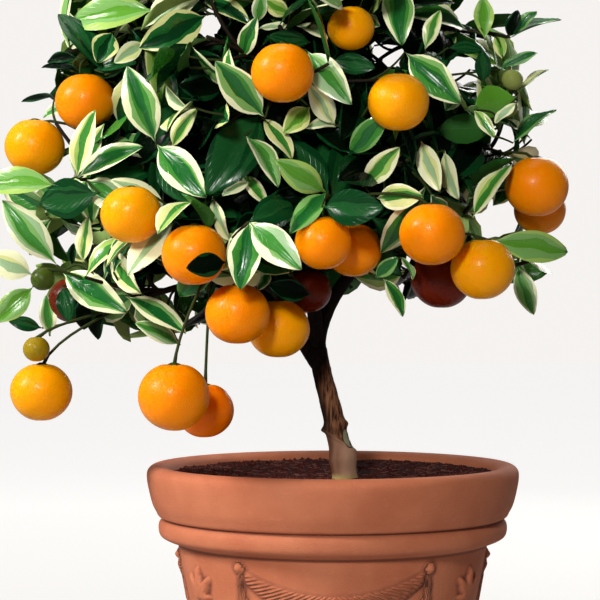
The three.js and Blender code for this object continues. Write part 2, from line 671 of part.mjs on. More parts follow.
// The stalk swings out from the fruit's middle as little as it needs to pass the fruit by.
function stalkPath(joint, { middle, radius }) {
  const top = middle.clone().setZ(middle.z + STALK_SINK * radius);
  const over = top.clone().setZ(top.z + STALK_RISE * radius).lerp(joint.point, STALK_LEAN);
  const away = joint.point.clone().sub(middle).setZ(0).normalize();
  const ways = STALK_SWINGS.map((swing) =>
    new THREE.QuadraticBezierCurve3(joint.point, over.clone().addScaledVector(away, swing * radius), top));
  const passes = (way) => way.getSpacedPoints(STALK_CHECKS).slice(0, -STALK_CHECKS / 4)
    .every((point) => point.distanceTo(middle) > radius + STALK_RADIUS);
  return ways.find(passes) ?? ways[0];
}

// The foliage: stems first, then stalks with fruit, then shoots with leaves, each clear of what was there
function foliageSolids(limbs) {
  const random = seededRandom(SEED + 2);
  const obstacles = Object.entries(limbs)
    .flatMap(([name, { path, radiusAt }]) => obstaclesAlong(path, radiusAt, name));
  const skeletons = new Map();
  for (const mass of MASSES) {
    const { path, radiusAt } = stemOf(mass, limbs);
    const skeleton = new Skeleton();
    skeleton.add(path, radiusAt, 6, 3, 0);
    skeletons.set(mass.name, skeleton);
    obstacles.push(...obstaclesAlong(path, radiusAt, mass.name));
  }
  const fruit = allFruit();
  for (const one of fruit) {
    const skeleton = skeletons.get(one.mass.name);
    const path = stalkPath(skeleton.joint(one.middle), one);
    skeleton.twigs.push({ path, radiusAt: () => STALK_RADIUS, sides: 3, steps: 3 });
    obstacles.push(...obstaclesAlong(path, () => STALK_RADIUS, one.mass.name));
    obstacles.push({ middle: one.middle, radius: one.radius - FRUIT_GIVE, owner: 'fruit' });
  }
  const leaves = [];
  for (const { tip, leaves: count } of shootTips()) {
    const mass = nearestMass(tip);
    const skeleton = skeletons.get(mass.name);
    const joint = skeleton.joint(tip);
    const path = BENDS.map((keep) => bend(joint.point, joint.along, tip, keep)).find((way) => {
      const points = obstaclesAlong(way, () => 0, mass.name).map(({ middle }) => middle);
      return points.slice(2).every((point) => inSpace(point, mass, TWIG_MARGIN))
        && isClear(points.slice(1), obstacles, mass.name, TWIG_CLEARANCE);
    });
    if (!path) continue;
    skeleton.add(path, taper(TWIG_RADII), 3, 2, joint.before);
    growLeaves(path, count, mass, obstacles, leaves, random);
  }
  return MASSES.map((mass) => {
    const twigs = skeletons.get(mass.name).twigs.map(({ path, radiusAt, sides, steps }) =>
      solidFrom(bentCylinder(path, radiusAt, sides, steps)));
    const own = fruit.filter((one) => one.mass === mass).map(fruitSolid);
    const blades = leaves.filter((leaf) => leaf.mass === mass).map(({ solid }) => solid);
    return ['foliage_' + mass.name, largest(Manifold.union([...twigs, ...blades, ...own]))];
  });
}

const MATERIALS = {
  terracotta: new THREE.MeshStandardMaterial({ color: '#c47a56', roughness: 0.85, metalness: 0 }),
  soil: new THREE.MeshStandardMaterial({ color: '#2c1a15', roughness: 1, metalness: 0 }),
  bark: new THREE.MeshStandardMaterial({ color: '#6b4f3c', roughness: 0.9, metalness: 0 }),
  foliage: new THREE.MeshStandardMaterial({ color: '#3f7a3a', roughness: 0.45, metalness: 0 }),
};

function named(name, solid, material) {
  const mesh = new THREE.Mesh(geometryFrom(solid), material);
  mesh.name = name;
  return mesh;
}

const tree = new THREE.Group();
tree.name = 'potted_mandarin_tree';
tree.add(named('pot', potSolid(), MATERIALS.terracotta));
tree.add(named('soil', soilSolid(), MATERIALS.soil));
const limbs = limbPaths();
for (const [name, solid] of Object.entries(limbSolids(limbs))) tree.add(named(name, solid, MATERIALS.bark));
for (const [name, solid] of foliageSolids(limbs)) tree.add(named(name, solid, MATERIALS.foliage));

export default tree;
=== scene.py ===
# %% [markdown]
# # A potted mandarin orange tree, grown by rule
# A small citrus tree with cream-edged leaves leans out of a terracotta pot, hung with ripe fruit.
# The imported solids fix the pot, the limbs, the fruit and the crown's reach. This lesson grows the same tree
# again, then adds finer twigs, leaves of true size, bark, crumbly soil and moulded garlands.
# All is worked out in millimetres as whole numpy arrays, and turned into metres when a mesh is made.

# %% Load the frame
import math

import bpy
import numpy as np
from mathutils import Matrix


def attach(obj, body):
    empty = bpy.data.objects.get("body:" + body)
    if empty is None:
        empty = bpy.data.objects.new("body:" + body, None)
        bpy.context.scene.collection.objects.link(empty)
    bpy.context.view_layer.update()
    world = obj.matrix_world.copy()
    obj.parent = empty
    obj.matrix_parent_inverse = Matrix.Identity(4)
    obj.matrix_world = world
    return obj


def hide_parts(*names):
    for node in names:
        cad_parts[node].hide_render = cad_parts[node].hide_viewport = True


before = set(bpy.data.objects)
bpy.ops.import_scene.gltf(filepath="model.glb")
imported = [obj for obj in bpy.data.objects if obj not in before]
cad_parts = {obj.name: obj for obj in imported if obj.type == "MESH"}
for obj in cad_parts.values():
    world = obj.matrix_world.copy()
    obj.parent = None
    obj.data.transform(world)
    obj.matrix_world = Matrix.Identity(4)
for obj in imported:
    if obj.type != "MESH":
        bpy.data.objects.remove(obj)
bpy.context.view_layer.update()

MM = 0.001

# %% [markdown]
# ## Tools for shapes
# Three tools make every piece. One walks along a path by shares of its length, one turns grids of points
# into a closed mesh, and one gives soft random heights, so that no two stretches of bark or clay match.
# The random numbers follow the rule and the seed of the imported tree.

# %% Seeded chance
SEED = 37
CHANCE_FACTOR = 1664525
CHANCE_STEP = 1013904223
CHANCE_STATES = 2**32


class Chance:
    """Random numbers from 0 to 1: each state is the last one times a factor plus a step, in 32 bits."""

    def __init__(self, seed):
        self.state = seed

    def __call__(self):
        self.state = (self.state * CHANCE_FACTOR + CHANCE_STEP) % CHANCE_STATES
        return self.state / CHANCE_STATES


# %% Directions, humps and soft random heights
GOLDEN_ANGLE = math.pi * (3 - math.sqrt(5))
UPWARDS = np.array([0, 0, 1.0])
TINY = 1e-9
LATTICE_MIX = np.array([127.1, 311.7, 74.7])
SEED_MIX = 53.3
SINE_SPREAD = 43758.5453


def norm(vectors):
    """The length of each vector."""
    return np.linalg.norm(vectors, axis=-1)


def unit(vectors):
    """Each vector divided by its length."""
    return vectors / np.maximum(norm(vectors), TINY)[..., None]


def turns(count):
    """Even angles round a circle."""
    return np.arange(count) * 2 * math.pi / count


def smooth(values, low, high):
    """0 below low, 1 above high, and 3 s^2 - 2 s^3 between, with s the share of the way."""
    share = np.clip((values - low) / (high - low), 0, 1)
    return share * share * (3 - 2 * share)


def hump(values, middle, width):
    """A soft hump of height 1: e^-((value - middle) / width)^2."""
    return np.exp(-(((values - middle) / width) ** 2))


def dome(shares):
    """The height of a half circle over -1 to 1: sqrt(1 - share^2), and 0 beyond."""
    return np.sqrt(np.clip(1 - shares**2, 0, 1))


def cloud(points, size, seed=0, octaves=3):
    """Soft random heights from -1 to 1: random values on a lattice of this size, blended by s^2 (3 - 2 s).

    Each further octave halves size and strength. A corner's value is the part after the point of
    |sin(its place mixed with the seed)| times a large number."""
    total = np.zeros(points.shape[:-1])
    for octave in range(octaves):
        place = points / size * 2**octave
        cell = np.floor(place)
        share = place - cell
        share = share * share * (3 - 2 * share)
        for corner in np.ndindex(2, 2, 2):
            mix = (cell + corner) @ LATTICE_MIX + SEED_MIX * (seed + octave)
            value = np.modf(np.abs(np.sin(mix)) * SINE_SPREAD)[0]
            weight = np.where(corner, share, 1 - share).prod(-1)
            total += weight * (2 * value - 1) / 2**octave
    return total / (2 - 0.5 ** (octaves - 1))


# %% Paths
HEADING_REACH = 0.01
CURVE_POINTS = 49
BEND_REACH = 0.45


class Way:
    """A path through close points, walked by shares of its length, with a radius from thick to thin."""

    def __init__(self, points, thick=0.0, thin=0.0):
        self.points = points
        gone = np.append(0, np.cumsum(norm(np.diff(points, axis=0))))
        self.length = gone[-1]
        self.shares = gone / gone[-1]
        self.radii = (thick, thin)

    def at(self, shares):
        """The points at these shares of the length."""
        return np.stack([np.interp(shares, self.shares, self.points[:, i]) for i in range(3)], -1)

    def along(self, shares):
        """The path's heading there, from a little before to a little after."""
        after = self.at(np.minimum(shares + HEADING_REACH, 1))
        return unit(after - self.at(np.maximum(shares - HEADING_REACH, 0)))

    def radius(self, shares):
        """The radius there, which changes evenly from thick to thin."""
        return self.radii[0] + (self.radii[1] - self.radii[0]) * np.asarray(shares)


def curve(controls):
    """A quadratic Bezier curve: (1 - t)^2 a + 2 t (1 - t) b + t^2 c, with t from 0 to 1 in even steps."""
    t = np.linspace(0, 1, CURVE_POINTS)[:, None]
    a, b, c = controls
    return (1 - t) ** 2 * a + 2 * t * (1 - t) * b + t**2 * c


def bend(start, along, end, keep):
    """Control points of a bend from start to end.

    The middle one lies 0.45 of the distance away, along keep * old heading + (1 - keep) * way to the end."""
    towards = end - start
    heading = unit(keep * unit(along) + (1 - keep) * unit(towards))
    return np.array([start, start + BEND_REACH * norm(towards) * heading, end])


# %% Meshes from arrays
def closed_tubes(rings, sides, count=1, first=0):
    """Quads and triangles of equal tubes closed at each end: rings * sides vertices, then the two poles.

    The ring runs anticlockwise seen against the way of the tube, and the vertices start at first."""
    side = np.arange(sides)
    after = (side + 1) % sides
    low = np.arange(rings - 1)[:, None] * sides
    quads = np.stack([low + side, low + after, low + sides + after, low + sides + side], -1).reshape(-1, 4)
    pole, last = rings * sides, (rings - 1) * sides
    start = np.stack([after, side, np.full(sides, pole)], -1)
    end = np.stack([last + side, last + after, np.full(sides, pole + 1)], -1)
    shift = first + np.arange(count)[:, None, None] * (pole + 2)
    return [(part + shift).reshape(-1, part.shape[1]) for part in (quads, np.concatenate([start, end]))]


def make_piece(name, points, faces, materials, tones=None, creases=None, uv=None, marks=None):
    """A smooth mesh object on the root body, from points in mm and index arrays with 3 or 4 columns.

    tones is the material index of each face, creases a mask of vertices whose shared edges stay sharp, uv one
    pair for each vertex, and marks a dict of named values for each vertex."""
    mesh = bpy.data.meshes.new(name)
    sizes = np.concatenate([np.full(len(part), part.shape[1]) for part in faces])
    corners = np.concatenate([part.ravel() for part in faces]).astype(np.int32)
    mesh.vertices.add(len(points))
    mesh.vertices.foreach_set("co", (points * MM).astype(np.float32).ravel())
    mesh.loops.add(len(corners))
    mesh.loops.foreach_set("vertex_index", corners)
    mesh.polygons.add(len(sizes))
    mesh.polygons.foreach_set("loop_start", np.append(0, np.cumsum(sizes)[:-1]).astype(np.int32))
    mesh.polygons.foreach_set("use_smooth", np.ones(len(sizes), bool))
    mesh.update(calc_edges=True)
    for material in materials:
        mesh.materials.append(material)
    if tones is not None:
        mesh.polygons.foreach_set("material_index", tones.astype(np.int32))
    if creases is not None:
        ends = np.zeros(len(mesh.edges) * 2, np.int32)
        mesh.edges.foreach_get("vertices", ends)
        mesh.edges.foreach_set("use_edge_sharp", creases[ends.reshape(-1, 2)].all(1))
    if uv is not None:
        mesh.uv_layers.new(name="blade").uv.foreach_set("vector", uv[corners].astype(np.float32).ravel())
    for mark, values in (marks or {}).items():
        mesh.attributes.new(mark, "FLOAT", "POINT").data.foreach_set("value", values.astype(np.float32))
    piece = bpy.data.objects.new(name, mesh)
    bpy.context.scene.collection.objects.link(piece)
    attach(piece, "root")
    mended = mesh.validate()
    triangles = sum(len(part) * (part.shape[1] - 2) for part in faces)
    print(f"{name}: {len(points)} points, {triangles} triangles, mended {mended}")
    return piece


# %% [markdown]
# ## Tools for finishes
# Colours are given as a screen shows them and turned into linear numbers, and laid over each other in
# layers. Floor, clay, soil, bark and twigs share one grain: broad patches for the colour and fine lumps for
# roughness and bump. As a node group it is built once and placed in each material.

# %% Colour and node helpers
SCREEN_WHITE = 255


def screen(red, green, blue):
    """A screen's colour as linear numbers: c / 12.92 up to 0.04045, and ((c + 0.055) / 1.055)^2.4 above."""
    share = np.array([red, green, blue]) / SCREEN_WHITE
    linear = np.where(share <= 0.04045, share / 12.92, ((share + 0.055) / 1.055) ** 2.4)
    return (*linear.tolist(), 1.0)


def place(tree, kind, inputs=None, **settings):
    """A node of this kind, its inputs set by name or number to a value, or linked where given a socket."""
    node = tree.nodes.new("ShaderNode" + kind)
    for setting, value in settings.items():
        setattr(node, setting, value)
    for socket, value in (inputs or {}).items():
        if isinstance(value, bpy.types.NodeSocket):
            tree.links.new(value, node.inputs[socket])
        else:
            node.inputs[socket].default_value = value
    return node


def maths(tree, operation, *values):
    """The output of one Math node."""
    return place(tree, "Math", dict(enumerate(values)), operation=operation).outputs[0]


def between(tree, value, low, high, start=0.0, end=1.0):
    """A value carried from the range low to high into the range start to end, clamped."""
    inputs = {"Value": value, "From Min": low, "From Max": high, "To Min": start, "To Max": end}
    return place(tree, "MapRange", inputs).outputs["Result"]


def blended(tree, mask, one, other):
    """Two colours blended by a mask. The Mix node's sockets for colours have the numbers 6, 7 and 2."""
    return place(tree, "Mix", {0: mask, 6: one, 7: other}, data_type="RGBA").outputs[2]


def new_group(name, inputs, outputs):
    """An empty shader group with float inputs {name: value} and float outputs."""
    tree = bpy.data.node_groups.new(name, "ShaderNodeTree")
    for socket, value in inputs.items():
        tree.interface.new_socket(socket, in_out="INPUT", socket_type="NodeSocketFloat").default_value = value
    for socket in outputs:
        tree.interface.new_socket(socket, in_out="OUTPUT", socket_type="NodeSocketFloat")
    return tree, tree.nodes.new("NodeGroupInput").outputs, tree.nodes.new("NodeGroupOutput").inputs


def add_group(tree, group, values=None):
    """A node group placed in a material, with values by name. Gives its outputs."""
    node = tree.nodes.new("ShaderNodeGroup")
    node.node_tree = group
    for socket, value in (values or {}).items():
        node.inputs[socket].default_value = value
    return node.outputs


# %% Material helpers
PLAIN_SPECULAR = 0.5
NOISE_FROM_TO = (0.3, 0.7)


def new_material(name, colour, roughness, specular=PLAIN_SPECULAR):
    """A material with its tree and its Principled shader, with plain values to start from."""
    material = bpy.data.materials.new(name)
    material.use_nodes = True
    shader = material.node_tree.nodes["Principled BSDF"]
    shader.inputs["Base Color"].default_value = colour
    shader.inputs["Roughness"].default_value = roughness
    shader.inputs["Specular IOR Level"].default_value = specular
    return material, material.node_tree, shader


def add_colour(tree, shader, colour, layers):
    """Colours laid over each other: each layer is a value, the range in which it shows and its colour."""
    for value, span, over in layers:
        colour = blended(tree, between(tree, value, *span), colour, over)
    tree.links.new(colour, shader.inputs["Base Color"])


def add_roughness(tree, shader, noise, smoothest, roughest):
    """Roughness that follows a noise, whose values mostly lie between 0.3 and 0.7."""
    tree.links.new(between(tree, noise, *NOISE_FROM_TO, smoothest, roughest), shader.inputs["Roughness"])


def add_bump(tree, shader, height, distance, strength=1.0):
    """A bump of this depth in metres on the shader's normal."""
    bump = place(tree, "Bump", {"Height": height, "Distance": distance, "Strength": strength})
    tree.links.new(bump.outputs["Normal"], shader.inputs["Normal"])


# %% The grain group
GRAIN_INPUTS = {"Patch Size": 0.03, "Grain Size": 0.001, "Stretch": 1.0}
grain_group, ins, outs = new_group("Grain", GRAIN_INPUTS, ["Patches", "Grain"])
where = place(grain_group, "TexCoord").outputs["Object"]
lengths = place(grain_group, "CombineXYZ", {"X": 1.0, "Y": 1.0, "Z": ins["Stretch"]}).outputs[0]
place_stretched = place(grain_group, "VectorMath", {0: where, 1: lengths}, operation="MULTIPLY").outputs[0]
for name, size, detail in (("Patches", "Patch Size", 3.0), ("Grain", "Grain Size", 5.0)):
    scale = maths(grain_group, "DIVIDE", 1.0, ins[size])
    noise = place(grain_group, "TexNoise", {"Vector": place_stretched, "Scale": scale, "Detail": detail})
    grain_group.links.new(noise.outputs["Fac"], outs[name])


def add_grain(tree, patch_size, grain_size, stretch=1.0):
    """The grain group in a material, with sizes in metres. Gives its Patches and Grain outputs."""
    sizes = {"Patch Size": patch_size, "Grain Size": grain_size, "Stretch": stretch}
    outputs = add_group(tree, grain_group, sizes)
    return outputs["Patches"], outputs["Grain"]


print("grain group:", len(grain_group.nodes), "nodes")

# %% [markdown]
# ## The camera and the light
# The photograph looks level across the pot, so the camera stands level as well, with a long lens.
# The light is a soft studio: a large key on the left, a small lamp beside the camera, soft lights above and
# behind, and a pale room. Floor and room glow fully for the camera alone and throw less on the plant,
# because in the photograph the undersides of leaves and fruit are deep.

# %% Camera
CAMERA_PLACE = np.array([-29.0, -1800, 433])
FOCAL_PIXELS = 2018
PHOTO_WIDTH = 600
SENSOR_WIDTH = 36

camera = bpy.data.objects.new("camera", bpy.data.cameras.new("camera"))
camera.data.sensor_width = SENSOR_WIDTH
camera.data.lens = SENSOR_WIDTH * FOCAL_PIXELS / PHOTO_WIDTH
camera.location = CAMERA_PLACE * MM
camera.rotation_euler = (math.pi / 2, 0, 0)
bpy.context.scene.collection.objects.link(camera)
bpy.context.scene.camera = camera
bpy.context.scene.view_settings.view_transform = "Standard"
print("lens", round(camera.data.lens, 1), "mm")

# %% Floor
FLOOR_HALF = 12.0
FLOOR_GLOW_FROM_TO = (0.4, 2.5)
FLOOR_GLOWS = (0.58, 0.86)
FLOOR_THROWN = 0.15
FLOOR_WARMTH = (1.01, 1.0, 0.985)
FLOOR_GRAIN = (0.4, 0.002)
FLOOR_ROUGHNESS = (0.7, 0.85)


def seen_or_thrown(tree, seen_value, thrown_value):
    """thrown + (seen - thrown) * m, with m 1 on a ray from the camera and 0 on any other."""
    mask = place(tree, "LightPath").outputs["Is Camera Ray"]
    return maths(tree, "MULTIPLY_ADD", maths(tree, "SUBTRACT", seen_value, thrown_value), mask, thrown_value)


floor_mesh = bpy.data.meshes.new("floor")
floor_corners = np.array([[-1, -1, 0], [1, -1, 0], [1, 1, 0], [-1, 1, 0]]) * FLOOR_HALF
floor_mesh.from_pydata(floor_corners.tolist(), [], [(0, 1, 2, 3)])
floor = bpy.data.objects.new("floor", floor_mesh)
bpy.context.scene.collection.objects.link(floor)
floor_material, tree, shader = new_material("floor", screen(130, 128, 126), 0.8)
patches, _ = add_grain(tree, *FLOOR_GRAIN)
floor_place = place(tree, "TexCoord").outputs["Object"]
far = place(tree, "VectorMath", {0: floor_place}, operation="LENGTH").outputs["Value"]
glow = seen_or_thrown(tree, between(tree, far, *FLOOR_GLOW_FROM_TO, *FLOOR_GLOWS), FLOOR_THROWN)
glows = {i: maths(tree, "MULTIPLY", glow, warmth) for i, warmth in enumerate(FLOOR_WARMTH)}
tree.links.new(place(tree, "CombineColor", glows).outputs[0], shader.inputs["Emission Color"])
shader.inputs["Emission Strength"].default_value = 1.0
add_roughness(tree, shader, patches, *FLOOR_ROUGHNESS)
floor_mesh.materials.append(floor_material)
print("floor:", 2 * FLOOR_HALF, "m wide")

# %% Room
ROOM_SEEN = 0.96
ROOM_FROM_TO = (-0.3, 0.75)
ROOM_THROWN = (0.018, 0.24)
world = bpy.data.worlds.new("studio")
world.use_nodes = True
room = world.node_tree
background = room.nodes["Background"]
background.inputs["Color"].default_value = screen(250, 247, 244)
direction = place(room, "SeparateXYZ", {0: place(room, "TexCoord").outputs["Generated"]}).outputs["Y"]
thrown = between(room, direction, *ROOM_FROM_TO, *ROOM_THROWN)
room.links.new(seen_or_thrown(room, ROOM_SEEN, thrown), background.inputs["Strength"])
bpy.context.scene.world = world

# %% Lights: place in m, width in m, power in W and colour
LIGHTS = {
    "key": ((-2.6, -1.0, 2.1), 0.8, 108.0, (1.0, 0.96, 0.9)),
    "lamp": ((-0.5, -2.1, 1.2), 0.3, 31.0, (1.0, 0.98, 0.95)),
    "top": ((-0.4, 0.3, 2.4), 1.2, 14.0, (1.0, 0.99, 0.97)),
    "back": ((0.9, 1.9, 1.5), 1.4, 24.0, (1.0, 0.98, 0.96)),
}
LIGHT_AIM = np.array([-0.03, 0.0, 0.48])
for name, (spot, size, power, colour) in LIGHTS.items():
    light = bpy.data.objects.new(name, bpy.data.lights.new(name, "AREA"))
    light.data.size = size
    light.data.energy = power
    light.data.color = colour
    light.location = spot
    x, y, z = np.array(spot) - LIGHT_AIM
    light.rotation_euler = (math.atan2(math.hypot(x, y), z), 0, math.atan2(x, -y))
    bpy.context.scene.collection.objects.link(light)
print("lights:", len(LIGHTS))

# %% Gaps in the crown, read off the photograph: x, y and radius in pixels
PHOTO_MIDDLE = 300
SKY = np.array([
    [12, 40, 40], [15, 92, 22], [207, 28, 12], [66, 168, 9], [112, 140, 6], [12, 232, 12], [70, 240, 8],
    [101, 236, 9], [145, 277, 7], [166, 287, 9], [85, 347, 12], [112, 337, 9], [388, 58, 13], [462, 14, 13],
    [461, 72, 15], [441, 118, 8], [548, 44, 12], [575, 60, 26], [578, 115, 26], [545, 90, 12],
    [550, 145, 14], [498, 142, 12], [493, 222, 14], [405, 262, 8], [372, 310, 26], [358, 338, 28],
    [420, 345, 30], [470, 345, 34], [520, 345, 28], [565, 300, 28], [110, 358, 24], [225, 378, 22],
    [70, 375, 12], [195, 335, 8], [40, 15, 22], [48, 84, 8], [535, 100, 8], [500, 8, 8], [528, 42, 5],
    [40, 106, 8], [522, 46, 7], [572, 163, 9], [62, 128, 9], [66, 148, 7], [54, 44, 5],
], float)
print("gaps in the crown:", len(SKY))


# %% From the photograph to the plant and back
def seen(places, depth):
    """Points in mm at this depth along y that show at these places of the photograph.

    One pixel spans (depth - the camera's y) / focal length there."""
    scale = (depth - CAMERA_PLACE[1]) / FOCAL_PIXELS
    x = CAMERA_PLACE[0] + (places[..., 0] - PHOTO_MIDDLE) * scale
    z = CAMERA_PLACE[2] - (places[..., 1] - PHOTO_MIDDLE) * scale
    return np.stack([x, depth + 0 * x, z], -1)


def shown(points):
    """Where in the photograph these points show."""
    scale = (points[..., 1] - CAMERA_PLACE[1]) / FOCAL_PIXELS
    x = PHOTO_MIDDLE + (points[..., 0] - CAMERA_PLACE[0]) / scale
    y = PHOTO_MIDDLE - (points[..., 2] - CAMERA_PLACE[2]) / scale
    return np.stack([x, y], -1)


def in_gap(points, radii):
    """Which balls of these radii would show in a gap, where the photograph has the wall."""
    scale = (points[:, 1] - CAMERA_PLACE[1]) / FOCAL_PIXELS
    away = norm(shown(points)[:, None] - SKY[:, :2])
    return (away < SKY[:, 2] + (radii / scale)[:, None]).any(1)


def hides_sky(points):
    """Whether any of the points lies in front of or behind such a gap."""
    return bool(in_gap(points, np.zeros(len(points))).any())


# %% [markdown]
# ## The pot
# The pot is pressed terracotta: one outline turned round the axis, with a rolled rim, a band under it and
# relief on the wall. Three garlands hang between knobs with tassels, and a sprig stands between garlands.
# The relief could be separate lumps, but real relief is part of the wall. So the pot is one grid over angle
# and outline, and the relief is added to the wall's radius, as formulas in x along the wall and z up it.

# %% The pot's driving dimensions
FOOT_RADIUS = 94
WALL_TOP_RADIUS = 137.5
WALL_TOP_HEIGHT = 218.5
MOUTH_RADIUS = 143
MOUTH_HEIGHT = 281
FLOOR_RADIUS = 86
FLOOR_THICKNESS = 12


def wall_radius(height):
    """The outer wall is a straight cone from the foot to under the band."""
    return FOOT_RADIUS + (WALL_TOP_RADIUS - FOOT_RADIUS) * height / WALL_TOP_HEIGHT


def inner_radius(height):
    """The inner wall is a straight cone from the floor to the mouth."""
    share = (height - FLOOR_THICKNESS) / (MOUTH_HEIGHT - FLOOR_THICKNESS)
    return FLOOR_RADIUS + (MOUTH_RADIUS - FLOOR_RADIUS) * share


print("pot:", MOUTH_HEIGHT, "mm to the mouth")

# %% A garland as a height over the flat wall
GARLAND_COUNT = 3
GARLAND_HALF_ANGLE = math.radians(36)
GARLAND_END_HEIGHT = 201
GARLAND_SAG = 27
GARLAND_END_HALF = 4
GARLAND_SWELL = 9
GARLAND_BODY, LEAF_RISE, VEIN_RISE = 0.5, 0.42, 0.16
LEAF_PITCH, LEAF_SLANT = 9.5, 0.075
VEIN_PITCH, VEIN_SLANT = 3.1, 0.25
STRAND_PITCH = 2.3
STRAND_TURN = (0.8, 0.55)
KNOB_HEIGHT = 208
KNOB_RADIUS = 5.5


def garland_height(x, z):
    """A rope of overlapping leaves along the hanging curve z = end - 2 t (1 - t) * 2 sag.

    Each leaf rises along the rope to a slanting step. Gives the height and the phase of its strands."""
    half = GARLAND_HALF_ANGLE * wall_radius(KNOB_HEIGHT) - KNOB_RADIUS
    t = np.clip((x / half + 1) / 2, 0, 1)
    slope = 4 * GARLAND_SAG * (2 * t - 1) / (2 * half)
    off = (z - (GARLAND_END_HEIGHT - 4 * GARLAND_SAG * t * (1 - t))) / np.sqrt(1 + slope**2)
    body = dome(off / (GARLAND_END_HALF + GARLAND_SWELL * np.sin(math.pi * t))) * (np.abs(x) < half)
    step = np.modf(np.abs(x) / LEAF_PITCH + LEAF_SLANT * np.abs(off))[0]
    veins = (1 + np.cos(2 * math.pi * (off - VEIN_SLANT * np.abs(x)) / VEIN_PITCH)) / 2
    phase = (STRAND_TURN[0] * off + STRAND_TURN[1] * np.abs(x)) / STRAND_PITCH
    return body * (GARLAND_BODY + LEAF_RISE * step + VEIN_RISE * veins), phase


# %% Knobs with tassels
KNOB_RING, KNOB_RING_WIDTH, KNOB_RING_DEPTH = 3.6, 0.8, 0.5
TASSEL_LENGTH = 44
TASSEL_RADIUS = 9
TASSEL_TOP = 1.5
TASSEL_RISE = 0.8
TASSEL_STRANDS = 3.5
TASSEL_GROOVES = 0.38
HEM_DEPTH, HEM_TURN = 0.08, 2.4


def knob_height(x, z):
    """A round knob with a sunken ring and a tassel below it: height and phase of the strands."""
    away = np.hypot(x, z - KNOB_HEIGHT)
    knob = dome(away / KNOB_RADIUS) * (1 - KNOB_RING_DEPTH * hump(away, KNOB_RING, KNOB_RING_WIDTH))
    down = (KNOB_HEIGHT - KNOB_RADIUS - z) / (TASSEL_LENGTH - KNOB_RADIUS)
    width = TASSEL_TOP + (TASSEL_RADIUS - TASSEL_TOP) * np.clip(down, 0, 1)
    inside = (down > 0) & (down < 1 + HEM_DEPTH * np.sin(x * HEM_TURN))
    strands = 1 - TASSEL_GROOVES + TASSEL_GROOVES * np.cos(x / width * math.pi * TASSEL_STRANDS)
    tassel = dome(x / width) * strands * inside * TASSEL_RISE
    return np.maximum(knob, tassel), np.where(down > 0, x / width * TASSEL_STRANDS, 0)


# %% Sprigs
SPRIG_HEIGHT = 178
SPRIG_LEAVES = ((-0.75, 26, 11), (0, 28, 11), (0.75, 26, 11), (-1.5, 15, 8), (1.5, 15, 8))
SPRIG_LEAF_FULLNESS = 0.8
SPRIG_RIB_DEPTH, SPRIG_RIB_HALF = 0.35, 0.9
STEM_HALF, STEM_LENGTH, STEM_RISE = 1.8, 20, 0.6


def almond(x, z, length, width):
    """A leaf's height: it stands on (0, 0), points up, swells as sqrt(1 - d^2) and has a sunken rib.

    Its half width is width / 2 * sin(pi s^0.8), with s the share of its length."""
    share = np.clip(z / length, 0, 1)
    half = width / 2 * np.sin(math.pi * share**SPRIG_LEAF_FULLNESS) + MM
    return dome(x / half) * ((z > 0) & (z < length)) * (1 - SPRIG_RIB_DEPTH * hump(x, 0, SPRIG_RIB_HALF))


def sprig_height(x, z):
    """Three leaves that fan from one foot, with two small ones and a stem under them."""
    height = np.zeros_like(x)
    for turn, length, width in SPRIG_LEAVES:
        along = x * math.sin(turn) + (z - SPRIG_HEIGHT) * math.cos(turn)
        across = x * math.cos(turn) - (z - SPRIG_HEIGHT) * math.sin(turn)
        height = np.maximum(height, almond(across, along, length, width))
    stem = dome(x / STEM_HALF) * ((z < SPRIG_HEIGHT) & (z > SPRIG_HEIGHT - STEM_LENGTH))
    return np.maximum(height, STEM_RISE * stem)


# %% The whole relief
RELIEF_DEPTH = 5


def relief(angle, height):
    """The largest of garland, knobs and sprig in mm, three times round, with the strands' phase and place."""
    part = 2 * math.pi / GARLAND_COUNT
    near = (angle + part / 2) % part - part / 2
    radius = wall_radius(KNOB_HEIGHT)
    tallest, phase = garland_height(near * radius, height)
    for side in (-1, 1):
        tassel, strands = knob_height((near - side * GARLAND_HALF_ANGLE) * radius, height)
        phase = np.where(tassel > tallest, strands, phase)
        tallest = np.maximum(tallest, tassel)
    stranded = np.clip(tallest * 2, 0, 1)
    between_garlands = (angle + part) % part - part / 2
    tallest = np.maximum(tallest, sprig_height(between_garlands * radius, height))
    return RELIEF_DEPTH * tallest, phase, stranded


# %% The pot's outline: radius and height in mm
RELIEF_FROM, RELIEF_TO = 134, 217
CORNER_CUTS = 2


def rounded(points):
    """Corner cutting: each inner corner gives way to points a quarter along its two sides."""
    points = np.array(points, float)
    for _ in range(CORNER_CUTS):
        ahead = points[:-1] * 0.75 + points[1:] * 0.25
        behind = points[:-1] * 0.25 + points[1:] * 0.75
        cut = np.stack([ahead, behind], 1).reshape(-1, 2)
        points = np.concatenate([points[:1], cut[1:-1], points[-1:]])
    return points


underside = [[radius, 0] for radius in (*range(12, 40, 7), *np.arange(40, 57, 0.8), 62, 74, 86)]
foot = rounded([[88, 0], [93, 0.2], [94.3, 2], [wall_radius(7), 7]])
plain_wall = [[wall_radius(height), height] for height in np.arange(14, RELIEF_FROM, 8)]
relief_wall = [[wall_radius(height), height] for height in np.arange(RELIEF_FROM, RELIEF_TO, 1.25)]
band = rounded([
    [137.3, 217], [138.2, 219.2], [147.5, 221.6], [153.6, 225], [154.9, 231], [154.4, 236.5], [151.2, 239.6],
])
groove = rounded([[150.8, 240.3], [151.1, 241.2], [154.3, 241.8], [156, 244]])
rim = rounded([
    [156.6, 245.6], [160.2, 252], [163.4, 264], [165.5, 275.5], [165.2, 282.5], [160, 287.2], [153, 286.8],
    [145.8, 283.6], [143, 279],
])
inner_wall = [[inner_radius(height), height] for height in (274, 266, 250, 200, 100, FLOOR_THICKNESS)]
